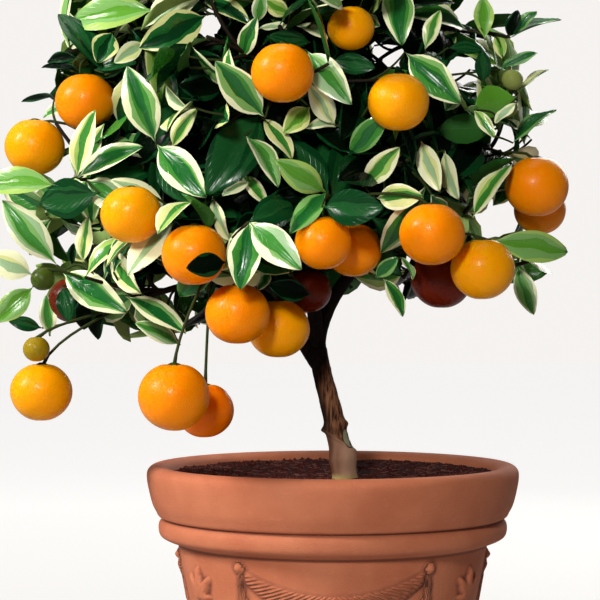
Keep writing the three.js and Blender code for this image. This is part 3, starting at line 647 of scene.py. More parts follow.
pot_floor = [[60, FLOOR_THICKNESS], [24, FLOOR_THICKNESS]]
outline = np.concatenate([underside, foot, plain_wall, relief_wall, band, groove, rim, inner_wall, pot_floor])
print("outline rows:", len(outline))

# %% Relief on the wall, and painted shade in its creases
POT_COLUMNS = 500
PLAIN_BELOW = 60
WALL_SLACK = 1
RELIEF_BLUR = (0.5, 2)
CREVICE_BLUR = (0.2, 6)
CREVICE_DEPTH = 0.8
CREASE_HEIGHTS = (217.6, 240.6)
CREASE_WIDTH = 1.3


def blurred(values, own, times):
    """Each value mixed with its four neighbours some times: own * value + (1 - own) / 4 * their sum."""
    for _ in range(times):
        around = sum(np.roll(values, step, axis) for step in (-1, 1) for axis in (0, 1))
        values = own * values + (1 - own) / 4 * around
    return values


pot_angle = turns(POT_COLUMNS)
radius, height = (np.repeat(outline[:, i : i + 1], POT_COLUMNS, 1) for i in (0, 1))
angle = np.repeat(pot_angle[None], len(outline), 0)
on_wall = (height > PLAIN_BELOW) & (height < RELIEF_TO) & (radius > wall_radius(height) - WALL_SLACK)
raised, strand_phase, stranded = (np.where(on_wall, value, 0) for value in relief(angle, height))
softened = np.where(on_wall, blurred(raised, *RELIEF_BLUR), 0)
# Painted shade: 1 where the relief lies below its blurred surroundings and along the creases under the band
# and the groove, to darken the clay where shade falls
crevice_shade = np.clip((blurred(softened, *CREVICE_BLUR) - softened) / CREVICE_DEPTH, 0, 1) * on_wall
for crease in CREASE_HEIGHTS:
    painted_crease_shade = hump(height, crease, CREASE_WIDTH) * (radius > WALL_TOP_RADIUS - WALL_SLACK)
    crevice_shade = np.maximum(crevice_shade, painted_crease_shade)
print("relief up to", round(float(softened.max()), 1), "mm")

# %% The pot's surface and drain holes
CLAY_SWELL, CLAY_SWELL_SIZE = 0.35, 70
CLAY_DENT, CLAY_DENT_SIZE = 0.12, 9
EVEN_FOOT = 3
DRAIN_COUNT = 3
DRAIN_RADIUS = 6
DRAIN_CIRCLE_RADIUS = 48
DRAIN_DEPTH = 11

place_on_pot = np.stack([radius * np.sin(angle), -radius * np.cos(angle), height], -1)
uneven = CLAY_SWELL * cloud(place_on_pot, CLAY_SWELL_SIZE, seed=3)
uneven = uneven + CLAY_DENT * cloud(place_on_pot, CLAY_DENT_SIZE, seed=5, octaves=2)
outside = (height > EVEN_FOOT) & (radius > inner_radius(height) + WALL_SLACK)
pushed = radius + softened + np.where(outside, uneven, 0)
drained = height.copy()
for drain in range(DRAIN_COUNT):
    turn = math.pi / 2 + drain * 2 * math.pi / DRAIN_COUNT
    drain_middle = DRAIN_CIRCLE_RADIUS * np.array([math.sin(turn), -math.cos(turn)])
    from_drain = norm(place_on_pot[..., :2] - drain_middle)
    drained = np.where((height < 1) & (from_drain < DRAIN_RADIUS), DRAIN_DEPTH, drained)
pot_points = np.stack([pushed * np.sin(angle), -pushed * np.cos(angle), drained], -1).reshape(-1, 3)
pot_points = np.concatenate([pot_points, [[0, 0, 0], [0, 0, FLOOR_THICKNESS]]])
print("pot:", len(pot_points), "points")

# %% Terracotta, with painted shade in its crevices and strand grooves
STRAND_DEPTH = 0.0009
GRAIN_SHARE = 0.45
terracotta, tree, shader = new_material("terracotta", screen(186, 106, 74), 0.8)
patches, grain = add_grain(tree, 0.045, 0.0011)
streaks, _ = add_grain(tree, 0.012, 0.002, 3.0)
pot_marks = {"crevice_shade": crevice_shade, "strand_phase": strand_phase, "stranded": stranded}
crevice_shade_mask, phase, stranded_mask = (
    place(tree, "Attribute", attribute_name=mark).outputs["Fac"] for mark in pot_marks)
wave = maths(tree, "SINE", maths(tree, "MULTIPLY", phase, 2 * math.pi))
strand = maths(tree, "MULTIPLY", wave, stranded_mask)
# Painted shade: the crevices and the troughs of the strands are painted a deep brown, as their shade would
# make them
painted_groove_shade = maths(tree, "MAXIMUM", crevice_shade_mask, between(tree, strand, -0.2, -1.0, 0, 0.6))
add_colour(tree, shader, screen(180, 100, 66), [
    (patches, (0.35, 0.65), screen(192, 113, 78)),
    (streaks, (0.6, 0.85, 0, 0.3), screen(210, 136, 100)),
    (grain, (0.66, 0.78, 0, 0.3), screen(150, 76, 50)),
    (painted_groove_shade, (0.1, 1.0, 0, 0.85), screen(96, 42, 28)),
])
add_roughness(tree, shader, grain, 0.68, 0.92)
add_bump(tree, shader, maths(tree, "MULTIPLY_ADD", grain, GRAIN_SHARE, strand), STRAND_DEPTH)

pot_marks = {mark: np.append(values.ravel(), [0, 0]) for mark, values in pot_marks.items()}
pot_faces = closed_tubes(len(outline), POT_COLUMNS)
pot = make_piece("terracotta_pot", pot_points, pot_faces, [terracotta], marks=pot_marks)
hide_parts("pot")

# %% [markdown]
# ## The soil
# Potting soil is dark, fibrous and lumpy. A flat disc with a texture would look painted, so the top is a
# grid with soft lumps, and loose crumbs and fibres lie on it as small shells.

# %% The bed of soil
GROUND = 275
SOIL_GAP = 0.3
SOIL_EDGE_RISE = 4.5
TRUNK_FOOT = np.array([10.7, -20, GROUND])
SOIL_FLAT_RADIUS = 36
SOIL_RISEN_RADIUS = MOUTH_RADIUS - 10
SOIL_UNDERSIDE = 12.4
SOIL_COLUMNS = 300
SOIL_ROWS = 90


def soil_height(x, y):
    """The soil's top: level round the trunk, rising 4.5 mm towards the pot, with lumps of three sizes."""
    away = np.hypot(x - TRUNK_FOOT[0], y - TRUNK_FOOT[1])
    flat = np.stack([x, y, np.zeros_like(x)], -1)
    lumps = 1.6 * cloud(flat, 26, seed=11, octaves=2) + 1.2 * np.abs(cloud(flat, 9, seed=13, octaves=2))
    lumps = lumps + 0.88 * cloud(flat, 3.2, seed=17, octaves=1)
    return GROUND - SOIL_GAP + SOIL_EDGE_RISE * smooth(away, SOIL_FLAT_RADIUS, SOIL_RISEN_RADIUS) + lumps


soil_edge = inner_radius(GROUND + SOIL_EDGE_RISE) - SOIL_GAP
rows = soil_edge * (1 - np.arange(SOIL_ROWS) / SOIL_ROWS)
wall_rows = [[inner_radius(height) - SOIL_GAP, height] for height in (150, 262)]
soil_outline = np.array([[60, SOIL_UNDERSIDE], [FLOOR_RADIUS - SOIL_GAP, SOIL_UNDERSIDE], *wall_rows])
soil_angle = turns(SOIL_COLUMNS)
soil_radius = np.append(soil_outline[:, 0], rows)[:, None] + 0 * soil_angle
soil_x, soil_y = soil_radius * np.sin(soil_angle), -soil_radius * np.cos(soil_angle)
soil_z = soil_height(soil_x, soil_y)
soil_z[: len(soil_outline)] = soil_outline[:, 1:]
soil_points = np.stack([soil_x, soil_y, soil_z], -1).reshape(-1, 3)
soil_poles = np.array([[0, 0, SOIL_UNDERSIDE], [0, 0, soil_height(np.zeros(1), np.zeros(1))[0]]])
soil_points = np.concatenate([soil_points, soil_poles])
soil_faces = closed_tubes(len(soil_radius), SOIL_COLUMNS)
print("bed of soil:", len(soil_points), "points")

# %% Crumbs on the soil
CRUMB_COUNT = 2600
CRUMB_INSET = 3
CRUMB_SMALLEST, CRUMB_RANGE = 0.7, 1.7
CRUMB_FLATTEST, CRUMB_BULGE = 0.6, 0.8
TRUNK_ROOM = 15
chance = np.random.default_rng(SEED)
OCTAHEDRON = np.array([[1, 0, 0], [0, 1, 0], [-1, 0, 0], [0, -1, 0], [0, 0, -1], [0, 0, 1]], float)


def scattered(count, edge):
    """Places spread evenly over the soil, clear of the trunk and the pot's wall."""
    spot = edge * np.sqrt(chance.random(count * 2)), chance.random(count * 2) * 2 * math.pi
    x, y = spot[0] * np.cos(spot[1]), spot[0] * np.sin(spot[1])
    free = np.hypot(x - TRUNK_FOOT[0], y - TRUNK_FOOT[1]) > TRUNK_ROOM
    x, y = x[free][:count], y[free][:count]
    return np.stack([x, y, soil_height(x, y)], -1)


crumb_place = scattered(CRUMB_COUNT, soil_edge - CRUMB_INSET)
crumb_size = CRUMB_SMALLEST + CRUMB_RANGE * chance.random((CRUMB_COUNT, 1, 1)) ** 2
lumpy = OCTAHEDRON * (CRUMB_FLATTEST + CRUMB_BULGE * chance.random((CRUMB_COUNT, 6, 1)))
turn = chance.random((CRUMB_COUNT, 1)) * 2 * math.pi
x, y, z = np.moveaxis(lumpy, -1, 0)
spun = np.stack([x * np.cos(turn) + y * np.sin(turn), y * np.cos(turn) - x * np.sin(turn), z], -1)
crumbs = (crumb_place[:, None] + crumb_size * spun).reshape(-1, 3)
soil_faces.append(closed_tubes(1, 4, CRUMB_COUNT, len(soil_points))[1])
soil_points = np.concatenate([soil_points, crumbs])
print("crumbs:", CRUMB_COUNT)

# %% Fibres on the soil
FIBRE_COUNT = 420
FIBRE_INSET = 12
FIBRE_RINGS = 4
FIBRE_BEND = 1.8
FIBRE_SHORTEST_STEP, FIBRE_STEP_RANGE = 1.5, 3.5
FIBRE_RISE = 0.5
FIBRE_RADIUS = 0.32
fibre_place = scattered(FIBRE_COUNT, soil_edge - FIBRE_INSET)
fibre_turn = chance.random((FIBRE_COUNT, 1)) * 2 * math.pi
fibre_bend = np.linspace(-FIBRE_BEND, FIBRE_BEND, FIBRE_RINGS) * (chance.random((FIBRE_COUNT, 1)) - 0.5)
fibre_turn = fibre_turn + fibre_bend
fibre_heading = np.stack([np.cos(fibre_turn), np.sin(fibre_turn), 0 * fibre_turn], -1)
fibre_step = FIBRE_SHORTEST_STEP + FIBRE_STEP_RANGE * chance.random((FIBRE_COUNT, 1, 1))
fibre_steps = np.cumsum(fibre_heading * fibre_step, 1)
fibre_line = fibre_place[:, None] + fibre_steps - fibre_steps.mean(1, keepdims=True)
fibre_line[..., 2] = soil_height(fibre_line[..., 0], fibre_line[..., 1]) + FIBRE_RISE
print("fibres:", len(fibre_line))

# %% Many tubes at once
LEVEL_HINT = [0.31, 0.17, 1.0]
STRAIGHT = 1e-3
POLE_REACH = 0.6


def tubes(lines, radii, sides, first=0):
    """Closed tubes round lines (many, rings, 3) with radii (many, rings), each ring square to its line.

    The circle's first axis is the bend's own normal, or level where a line is straight, so no tube twists."""
    many, rings, _ = lines.shape
    way = np.empty_like(lines)
    way[:, 1:-1] = lines[:, 2:] - lines[:, :-2]
    way[:, 0], way[:, -1] = lines[:, 1] - lines[:, 0], lines[:, -1] - lines[:, -2]
    way = unit(way)
    chord = lines[:, -1] - lines[:, 0]
    normal = np.cross(chord, lines[:, rings // 2] - lines[:, 0])
    level = np.cross(chord, LEVEL_HINT)
    flat = norm(normal) < STRAIGHT * norm(chord) ** 2
    normal = unit(np.where(flat[:, None], level, normal))[:, None]
    side = unit(np.cross(way, normal))
    normal = np.cross(side, way)
    turn = turns(sides)
    circle = side[:, :, None] * np.cos(turn)[:, None] - normal[:, :, None] * np.sin(turn)[:, None]
    skin = lines[:, :, None] + circle * radii[:, :, None, None]
    start = lines[:, 0] - way[:, 0] * radii[:, :1] * POLE_REACH
    end = lines[:, -1] + way[:, -1] * radii[:, -1:] * POLE_REACH
    points = np.concatenate([skin.reshape(many, -1, 3), np.stack([start, end], 1)], 1)
    return points.reshape(-1, 3), closed_tubes(rings, sides, many, first)


fibre_radii = np.full((FIBRE_COUNT, FIBRE_RINGS), FIBRE_RADIUS)
fibre_points, fibre_faces = tubes(fibre_line, fibre_radii, 3, len(soil_points))
print("fibres as tubes:", len(fibre_points), "points")

# %% Soil finish
SOIL_SPECULAR = 0.08
SOIL_GRAIN = (0.006, 0.0008)
SOIL_PALE_FROM_TO = (0.35, 0.7)
SOIL_BUMP = 0.0012
SOIL_TONES = {
    "soil_bed": (screen(34, 9, 10), screen(72, 28, 24)),
    "soil_crumb": (screen(50, 18, 16), screen(98, 46, 38)),
    "soil_fibre": (screen(108, 62, 54), screen(156, 104, 94)),
}
soil_materials = []
for name, (dark, pale) in SOIL_TONES.items():
    material, tree, shader = new_material(name, dark, 0.95, SOIL_SPECULAR)
    patches, grain = add_grain(tree, *SOIL_GRAIN)
    add_colour(tree, shader, dark, [(grain, SOIL_PALE_FROM_TO, pale)])
    add_roughness(tree, shader, patches, 0.8, 1.0)
    add_bump(tree, shader, grain, SOIL_BUMP)
    soil_materials.append(material)

soil_points = np.concatenate([soil_points, fibre_points])
soil_faces += fibre_faces
soil_tones = np.concatenate([np.full(len(part), tone) for part, tone in zip(soil_faces, (0, 0, 1, 2, 2))])
soil = make_piece("potting_soil", soil_points, soil_faces, soil_materials, soil_tones)
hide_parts("soil")

# %% [markdown]
# ## The limbs
# The trunk leans out of the pot and forks into five boughs, and eight branches leave those. Their paths
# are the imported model's: a smooth curve for the trunk, and one bend from parent to end for every other limb.
# Near the fork the skins differ: boughs begin inside the trunk, and two are pulled aside as photographed.
# A limb could be a curve with a bevel, but bark needs relief that fits its place, so each limb is a grid
# over length and angle whose radius carries the bark.

# %% Masses of foliage and the limbs that carry them
FORK = np.array([-14.0, -14, 394])
TRUNK_PLACES = np.array([TRUNK_FOOT, [8, -19, 297], [3.1, -18, 317], [-4, -16, 347], [-10.7, -15, 375], FORK])
MASSES = {
    "left_low": ((-200, -40, 420), "branch_left_low", (-128, -42, 446)),
    "left": ((-200, -30, 545), "bough_left", (-122, -28, 505)),
    "left_up": ((-165, -20, 665), "branch_left_up", (-116, -22, 582)),
    "front_left": ((-112, -148, 445), "branch_front_left", (-78, -84, 470)),
    "front": ((0, -145, 515), "bough_front", (-24, -74, 506)),
    "front_top": ((-50, -130, 650), "branch_front_top", (-42, -62, 596)),
    "right_low": ((128, -42, 448), "branch_right_low", (66, -40, 478)),
    "right": ((160, 0, 570), "bough_right", (78, -12, 530)),
    "right_up": ((100, -20, 680), "branch_right_up", (62, -16, 606)),
    "top": ((-40, 10, 750), "bough_leader", (-34, 2, 634)),
    "back_left": ((-140, 120, 590), "branch_back_left", (-86, 72, 540)),
    "back_right": ((70, 125, 590), "branch_back_right", (24, 84, 545)),
    "back_low": ((-40, 130, 460), "bough_back", (-26, 76, 474)),
}
BRANCHES = {
    "branch_left_low": ("bough_left", 0.42),
    "branch_left_up": ("bough_left", 0.68),
    "branch_front_left": ("bough_front", 0.45),
    "branch_front_top": ("bough_leader", 0.62),
    "branch_right_low": ("bough_right", 0.48),
    "branch_right_up": ("bough_right", 0.74),
    "branch_back_left": ("bough_back", 0.5),
    "branch_back_right": ("bough_back", 0.74),
}
MIDDLES = np.array([middle for middle, _, _ in MASSES.values()], float)
FEET = {limb: np.array(foot, float) for _, limb, foot in MASSES.values()}
BOUGH_RADII = (6.6, 3.8)
BRANCH_RADII = (4.3, 3.0)
BOUGH_KEEP = 0.3
BRANCH_KEEP = 0.35


# %% Paths of the limbs
TRUNK_STEPS = 24
TRUNK_FOOT_RADIUS, TRUNK_TAPER = 10.6, 3
FLARE, FLARE_REACH = 1.2, 0.03
SWELL, SWELL_AT, SWELL_WIDTH = 2.1, 0.15, 0.07
COLLAR, COLLAR_AT, COLLAR_WIDTH = 1.1, 0.4, 0.035
FORK_SPREAD, FORK_FROM = 2.4, 0.82


def trunk_line():
    """A Catmull-Rom curve: cubics whose slope at a place is half the step between its neighbours."""
    below, above = 2 * TRUNK_PLACES[0] - TRUNK_PLACES[1], 2 * TRUNK_PLACES[-1] - TRUNK_PLACES[-2]
    places = np.concatenate([[below], TRUNK_PLACES, [above]])
    t = np.linspace(0, 1, TRUNK_STEPS + 1)[:-1, None]
    before, start, end, after = places[:-3, None], places[1:-2, None], places[2:-1, None], places[3:, None]
    line = (2 * t**3 - 3 * t**2 + 1) * start + (t**3 - 2 * t**2 + t) * (end - before) / 2
    line = line + (3 * t**2 - 2 * t**3) * end + (t**3 - t**2) * (after - start) / 2
    return np.concatenate([line.reshape(-1, 3), FORK[None]])


def trunk_radius(share):
    """Taper, root flare, the old graft's swelling, its collar and the broad fork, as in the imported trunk."""
    flare = FLARE * np.exp(-share / FLARE_REACH)
    humps = SWELL * hump(share, SWELL_AT, SWELL_WIDTH) + COLLAR * hump(share, COLLAR_AT, COLLAR_WIDTH)
    return TRUNK_FOOT_RADIUS - TRUNK_TAPER * share + flare + humps + FORK_SPREAD * smooth(share, FORK_FROM, 1)


limbs = {"trunk": Way(trunk_line())}
limbs["trunk"].radius = trunk_radius
for limb in [limb for limb in FEET if limb.startswith("bough")]:
    limbs[limb] = Way(curve(bend(FORK, UPWARDS, FEET[limb], BOUGH_KEEP)), *BOUGH_RADII)
for limb, (bough, share) in BRANCHES.items():
    parent = limbs[bough]
    controls = bend(parent.at(share), parent.along(share), FEET[limb], BRANCH_KEEP)
    limbs[limb] = Way(curve(controls), *BRANCH_RADII)
print("limbs:", {name: round(way.length) for name, way in limbs.items()})


# %% Grids round the limbs, and bark as a height
RIGHT_HINT = [1.0, 0.02, 0.05]
FURROW_STRETCH = [1, 1, 1 / 6]
FURROWS, FURROW_SIZE = 0.7, 3.4
LUMPS, LUMP_SIZE = 0.5, 14
WARTS, WART_SIZE = 0.25, 2.6


def limb_grid(way, rings, sides):
    """Points (rings, sides, 3) of the plain limb, directions outward, shares along it and angles round it."""
    shares = np.linspace(0, 1, rings)
    line, along = way.at(shares), way.along(shares)
    front = unit(np.cross(along, RIGHT_HINT))
    side = np.cross(front, along)
    turn = turns(sides)
    outward = side[:, None] * np.cos(turn)[None, :, None] + front[:, None] * np.sin(turn)[None, :, None]
    skin = line[:, None] + outward * np.asarray(way.radius(shares))[:, None, None]
    return skin, outward, shares[:, None] + 0 * turn, turn + 0 * shares[:, None]


def bark_height(skin, depth):
    """Furrows: soft random heights stretched six times along z and folded to cut in, plus lumps and warts."""
    furrows = 1 - 2 * np.abs(cloud(skin * FURROW_STRETCH, FURROW_SIZE, seed=21, octaves=2))
    lumps = LUMPS * cloud(skin, LUMP_SIZE, seed=25, octaves=2)
    return depth * (FURROWS * furrows + lumps + WARTS * cloud(skin, WART_SIZE, seed=27, octaves=1))


# %% The old graft on the trunk
LEDGE_MIDDLE, LEDGE_SLANT = 0.285, 0.095
LEDGE_RISE, LEDGE_WIDTH = 1.5, 0.018
STEP_DEPTH, STEP_EDGE, STEP_END = 0.8, (0, 0.04), (0.08, 0.3)
GRAFT_KNOTS = (((-11.0, -19, 317.5), 3.6, 2.8), ((13.8, -19, 324), 3.4, 2.2), ((15.5, -20, 296), 3.6, 0.9))
BARE_MIDDLE = np.array([13.6, -25, 313])
BARE_REACH = np.array([5.0, 6.5, 11.5])
BARE_RIM = 0.3
BARE_DEPTH = 0.9


def above_ledge(shares, turn):
    """How far above the graft's ledge: it runs high on the left, where turn is pi, and low on the right."""
    return shares - (LEDGE_MIDDLE - LEDGE_SLANT * np.cos(turn))


def bare_patch(skin):
    """1 inside the long patch without bark on the right of the graft, 0 outside: an ellipsoid's soft rim."""
    return smooth(1 - norm((skin - BARE_MIDDLE) / BARE_REACH), 0, BARE_RIM)


def graft_height(skin, shares, turn):
    """The old graft: the slanting ledge with a step above it, knots at its ends and a sunken bare patch."""
    above = above_ledge(shares, turn)
    step = smooth(above, *STEP_EDGE) * (1 - smooth(above, *STEP_END))
    lift = LEDGE_RISE * hump(above, 0, LEDGE_WIDTH) - STEP_DEPTH * step
    for spot, size, rise in GRAFT_KNOTS:
        lift = lift + rise * hump(norm(skin - np.array(spot)), 0, size)
    return lift - BARE_DEPTH * bare_patch(skin)


# %% Boughs that leave the fork
BOUGH_PULLS = {
    "bough_left": (0.4, ((0.5, 0, -16), (-9, 0, -10), (-1, 0, -1))),
    "bough_right": (0.62, ((0, 0, 0), (-8, 0, 4), (-6, 0, 0))),
}
ROOTED_POINTS = 8
ROOT_SEARCH = np.linspace(0.6, 1, 41)


def pulled(name, way):
    """The bough's points, pulled aside near the fork by a cubic Bezier curve that ends at nothing."""
    if name not in BOUGH_PULLS:
        return way.points
    reach, pulls = BOUGH_PULLS[name]
    first, second, third = np.array(pulls, float)
    u = np.clip(way.shares / reach, 0, 1)[:, None]
    return way.points + (1 - u) ** 3 * first + 3 * u * (1 - u) ** 2 * second + 3 * u**2 * (1 - u) * third


def rooted(name, way):
    """The bough begun deeper, inside the trunk, so that it comes out with no ledge; and how deep, in mm."""
    points = pulled(name, way)
    inside = limbs["trunk"].at(ROOT_SEARCH)
    inside = inside[inside[:, 2] < points[0, 2] - 1][-ROOTED_POINTS:]
    depth = norm(np.diff(np.concatenate([inside, points[:1]]), axis=0)).sum()
    return Way(np.concatenate([inside, points]), *BOUGH_RADII), depth


# %% How far each limb's skin is lifted
FOOT_FADE = (-0.01, 0.02)
FOOT_BARK, TRUNK_BARK, BARE_SMOOTH = 0.07, 0.5, 0.8
GROUND_FADE = (-0.02, 0.03)
DOME_FROM, DOME_CURVE = 0.95, 0.98
LIMB_BARK = 0.38
BOUGH_COLLAR, BOUGH_COLLAR_REACH = 1.2, 9
ROOT_SHRINK, ROOT_MARGIN = 0.8, 5
BRANCH_COLLAR, BRANCH_COLLAR_REACH = 2.6, 7


def trunk_lift(way, skin, shares, turn):
    """Bark, graft, a fork that swells on the left alone and a rounded top; and the marks foot and bare."""
    foot = 1 - smooth(above_ledge(shares, turn), *FOOT_FADE)
    bare = bare_patch(skin)
    depth = (FOOT_BARK + TRUNK_BARK * (1 - foot)) * (1 - BARE_SMOOTH * bare)
    lift = (bark_height(skin, depth) + graft_height(skin, shares, turn)) * smooth(shares, *GROUND_FADE)
    lift = lift - FORK_SPREAD * smooth(shares, FORK_FROM, 1) * (1 + np.cos(turn)) / 2
    top = DOME_CURVE * np.clip((shares - DOME_FROM) / (1 - DOME_FROM), 0, 1)
    return lift - way.radius(shares) * (1 - dome(top)), foot, bare


def limb_lift(way, skin, shares, sunk):
    """Bark, and a collar where the limb leaves its parent; the end of a bough inside the trunk is thinner."""
    past = shares * way.length - sunk
    bark = bark_height(skin, LIMB_BARK)
    if not sunk:
        return bark + BRANCH_COLLAR * np.exp(-past / BRANCH_COLLAR_REACH)
    shrink = ROOT_SHRINK * (1 - smooth(past, -sunk, -ROOT_MARGIN))
    return bark + BOUGH_COLLAR * np.exp(-np.abs(past) / BOUGH_COLLAR_REACH) - way.radius(shares) * shrink


# %% Limb surfaces
LIMB_GRIDS = {"trunk": (260, 96), "bough": (90, 36), "branch": (60, 24)}
TIP_REACH = 0.5
bark_points, bark_faces, bark_count = [], [], 0
bark_marks = {"foot": [], "bare": [], "right": []}
for name, way in limbs.items():
    rings, sides = LIMB_GRIDS[name.split("_")[0]]
    sunk = 0
    if name.startswith("bough"):
        way, sunk = rooted(name, way)
    skin, outward, shares, turn = limb_grid(way, rings, sides)
    if name == "trunk":
        lift, foot, bare = trunk_lift(way, skin, shares, turn)
        # Painted light and shade: right is 1 on the trunk's right side and 0 on its left, to paint the bark
        # pale where it is lit and dark where it is shaded; the limbs take the middle
        right = (1 + np.cos(turn)) / 2
    else:
        lift = limb_lift(way, skin, shares, sunk)
        foot = bare = 0 * shares
        right = foot + 0.5
    skin = skin + outward * lift[..., None]
    tip = way.at(1.0) + way.along(1.0) * way.radius(1.0) * TIP_REACH
    bark_points += [skin.reshape(-1, 3), way.at(0.0)[None], tip[None]]
    bark_marks["foot"] += [foot.ravel(), [0, 0]]
    bark_marks["bare"] += [bare.ravel(), [0, 0]]
    bark_marks["right"] += [right.ravel(), [0.5, 0.5]]
    bark_faces += closed_tubes(rings, sides, first=bark_count)
    bark_count += rings * sides + 2
bark_points = np.concatenate(bark_points)
bark_marks = {mark: np.concatenate(values) for mark, values in bark_marks.items()}
print("limb surfaces:", len(bark_points), "points")

# %% Bark finish, with its heights in metres, and painted light and shade on the trunk
WOOD_SPECULAR = 0.12
BASE_FROM_TO = (0.2765, 0.281)
SHADED_SLANT = -1.6
SHADED_FROM_TO = (0.376, 0.394)
SHADED_SCATTER = 0.04
SIDE_SCATTER = 0.9
BARK_BUMP = 0.0005
bark, tree, shader = new_material("bark", screen(96, 70, 52), 0.85, WOOD_SPECULAR)
patches, grain = add_grain(tree, 0.016, 0.0016, 0.25)
_, streaks = add_grain(tree, 0.02, 0.0021, 0.1)
_, fine = add_grain(tree, 0.004, 0.0006)
spot = place(tree, "SeparateXYZ", {0: place(tree, "TexCoord").outputs["Object"]}).outputs
foot, bare, right = (place(tree, "Attribute", attribute_name=mark).outputs["Fac"] for mark in bark_marks)
off_middle = maths(tree, "SUBTRACT", patches, 0.5)
# Painted shade: above a height that slants up towards the right, the bark is painted nearly black, as the
# crown's shade makes it look
shaded = maths(tree, "MULTIPLY_ADD", spot["X"], SHADED_SLANT, spot["Z"])
shaded = maths(tree, "ADD", shaded, maths(tree, "MULTIPLY", off_middle, SHADED_SCATTER))
# Painted light and shade: with some scatter, the foot and the brown bark are pale on the right side and dark
# on the left
uneven = maths(tree, "ADD", right, maths(tree, "MULTIPLY", off_middle, SIDE_SCATTER))
foot_bark = blended(tree, between(tree, uneven, 0.1, 0.9), screen(92, 58, 42), screen(186, 146, 120))
foot_bark = blended(tree, between(tree, spot["Z"], *BASE_FROM_TO, 1, 0), foot_bark, screen(152, 136, 84))
brown_bark = blended(tree, between(tree, streaks, 0.36, 0.64), screen(46, 23, 13), screen(140, 95, 66))
brown_bark = blended(tree, between(tree, uneven, 0.05, 0.4), screen(38, 20, 11), brown_bark)
shade_painted_bark = blended(tree, between(tree, grain, 0.4, 0.66), screen(10, 7, 6), screen(38, 27, 22))
bare_wood = blended(tree, between(tree, bare, 0.4, 0.85), screen(44, 25, 16), screen(166, 164, 132))
add_colour(tree, shader, blended(tree, foot, brown_bark, foot_bark), [
    (shaded, SHADED_FROM_TO, shade_painted_bark),
    (bare, (0.02, 0.2), bare_wood),
])
add_roughness(tree, shader, grain, 0.6, 0.95)
add_bump(tree, shader, fine, BARK_BUMP)
trunk_and_boughs = make_piece("trunk_and_boughs", bark_points, bark_faces, [bark], marks=bark_marks)
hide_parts(*limbs)

# %% [markdown]
# ## The crown grows
# Every mass of foliage has a stem that goes on from its limb. Fruit hang on stalks, and shoots branch from
# the nearest good place on what has already grown, so the twigs fork like a real crown.
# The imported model's shoots grow first, and then more shoots fill the shells inside them.

# %% The crown's outline, spaces and obstacles
CROWN_MIDDLE = np.array([-43.0, 0, 560])
CROWN_REACH = np.array([257.0, 238, 242])
CROWN_SQUARENESS = 2.3
WAY_STEP = 4


def crown_share(points):
    """How far out a point lies: (sum of |d / reach|^2.3)^(1/2.3), which is 1 on the crown's outline."""
    shares = np.abs((points - CROWN_MIDDLE) / CROWN_REACH)
    return (shares**CROWN_SQUARENESS).sum(-1) ** (1 / CROWN_SQUARENESS)


def nearest_mass(point):
    """The number of the mass whose middle is nearest."""
    return int(np.argmin(norm(MIDDLES - point)))


def in_space(points, mass, margin):
    """Whether all points lie nearer to their mass's middle than to the others, by this margin in mm."""
    away = ((points[:, None] - MIDDLES) ** 2).sum(-1)
    apart = norm(MIDDLES - MIDDLES[mass])
    nearer = away - away[:, mass : mass + 1] > 2 * apart * margin
    nearer[:, mass] = True
    return nearer.all()


def spread_headings(count):
    """Headings spread evenly over a sphere: level steps in height, each turned on by the golden angle."""
    step = np.arange(count)
    rise = 1 - 2 * (step + 0.5) / count
    flat = np.sqrt(1 - rise**2)
    return np.stack([flat * np.cos(step * GOLDEN_ANGLE), flat * np.sin(step * GOLDEN_ANGLE), rise], -1)


class Obstacles:
    """Balls that growing twigs and leaves keep clear of, each with the mass that may pass it."""

    def __init__(self):
        self.rows = np.zeros((0, 5))

    def add(self, points, radii, owner):
        """Adds balls at these points, which their owner may pass."""
        rows = np.column_stack([points, np.broadcast_to(radii, len(points)), np.full(len(points), owner)])
        self.rows = np.concatenate([self.rows, rows])

    def clear(self, points, owner, margin):
        """Whether all points keep this margin from every ball of another owner."""
        others = self.rows[self.rows[:, 4] != owner]
        away = norm(points[:, None] - others[:, :3])
        return bool((away > others[:, 3] + margin).all())


def along_way(way):
    """Points every few millimetres along a path, and its radii there."""
    shares = np.linspace(0, 1, math.ceil(way.length / WAY_STEP) + 1)
    return way.at(shares), way.radius(shares)


print("crown:", 2 * CROWN_REACH, "mm")

# %% Skeletons of twigs
KNOT_SPACING = 9
TURN_COST = 0.35
WAY_BACK_COST = 0.45
TWIG_RADII = (2.1, 1.5)


class Skeleton:
    """The twigs of one mass, with knots that new twigs may branch from."""

    def __init__(self):
        self.points, self.headings, self.before = np.zeros((0, 3)), np.zeros((0, 3)), np.zeros(0)

    def grow(self, way, before):
        """Adds a twig's knots, with how far it is from the mass's foot to each."""
        count = max(3, math.ceil(way.length / KNOT_SPACING))
        shares = np.arange(1, count) / count
        self.points = np.concatenate([self.points, way.at(shares)])
        self.headings = np.concatenate([self.headings, way.along(shares)])
        self.before = np.append(self.before, before + shares * way.length)

    def joint(self, tip):
        """The knot that costs least: the way to the tip, more for a turn, and a share of the way back."""
        way = tip - self.points
        far = norm(way)
        turn = 1 - (self.headings * way).sum(1) / far
        best = np.argmin(far * (1 + TURN_COST * turn) + WAY_BACK_COST * self.before)
        return self.points[best], self.headings[best], self.before[best]


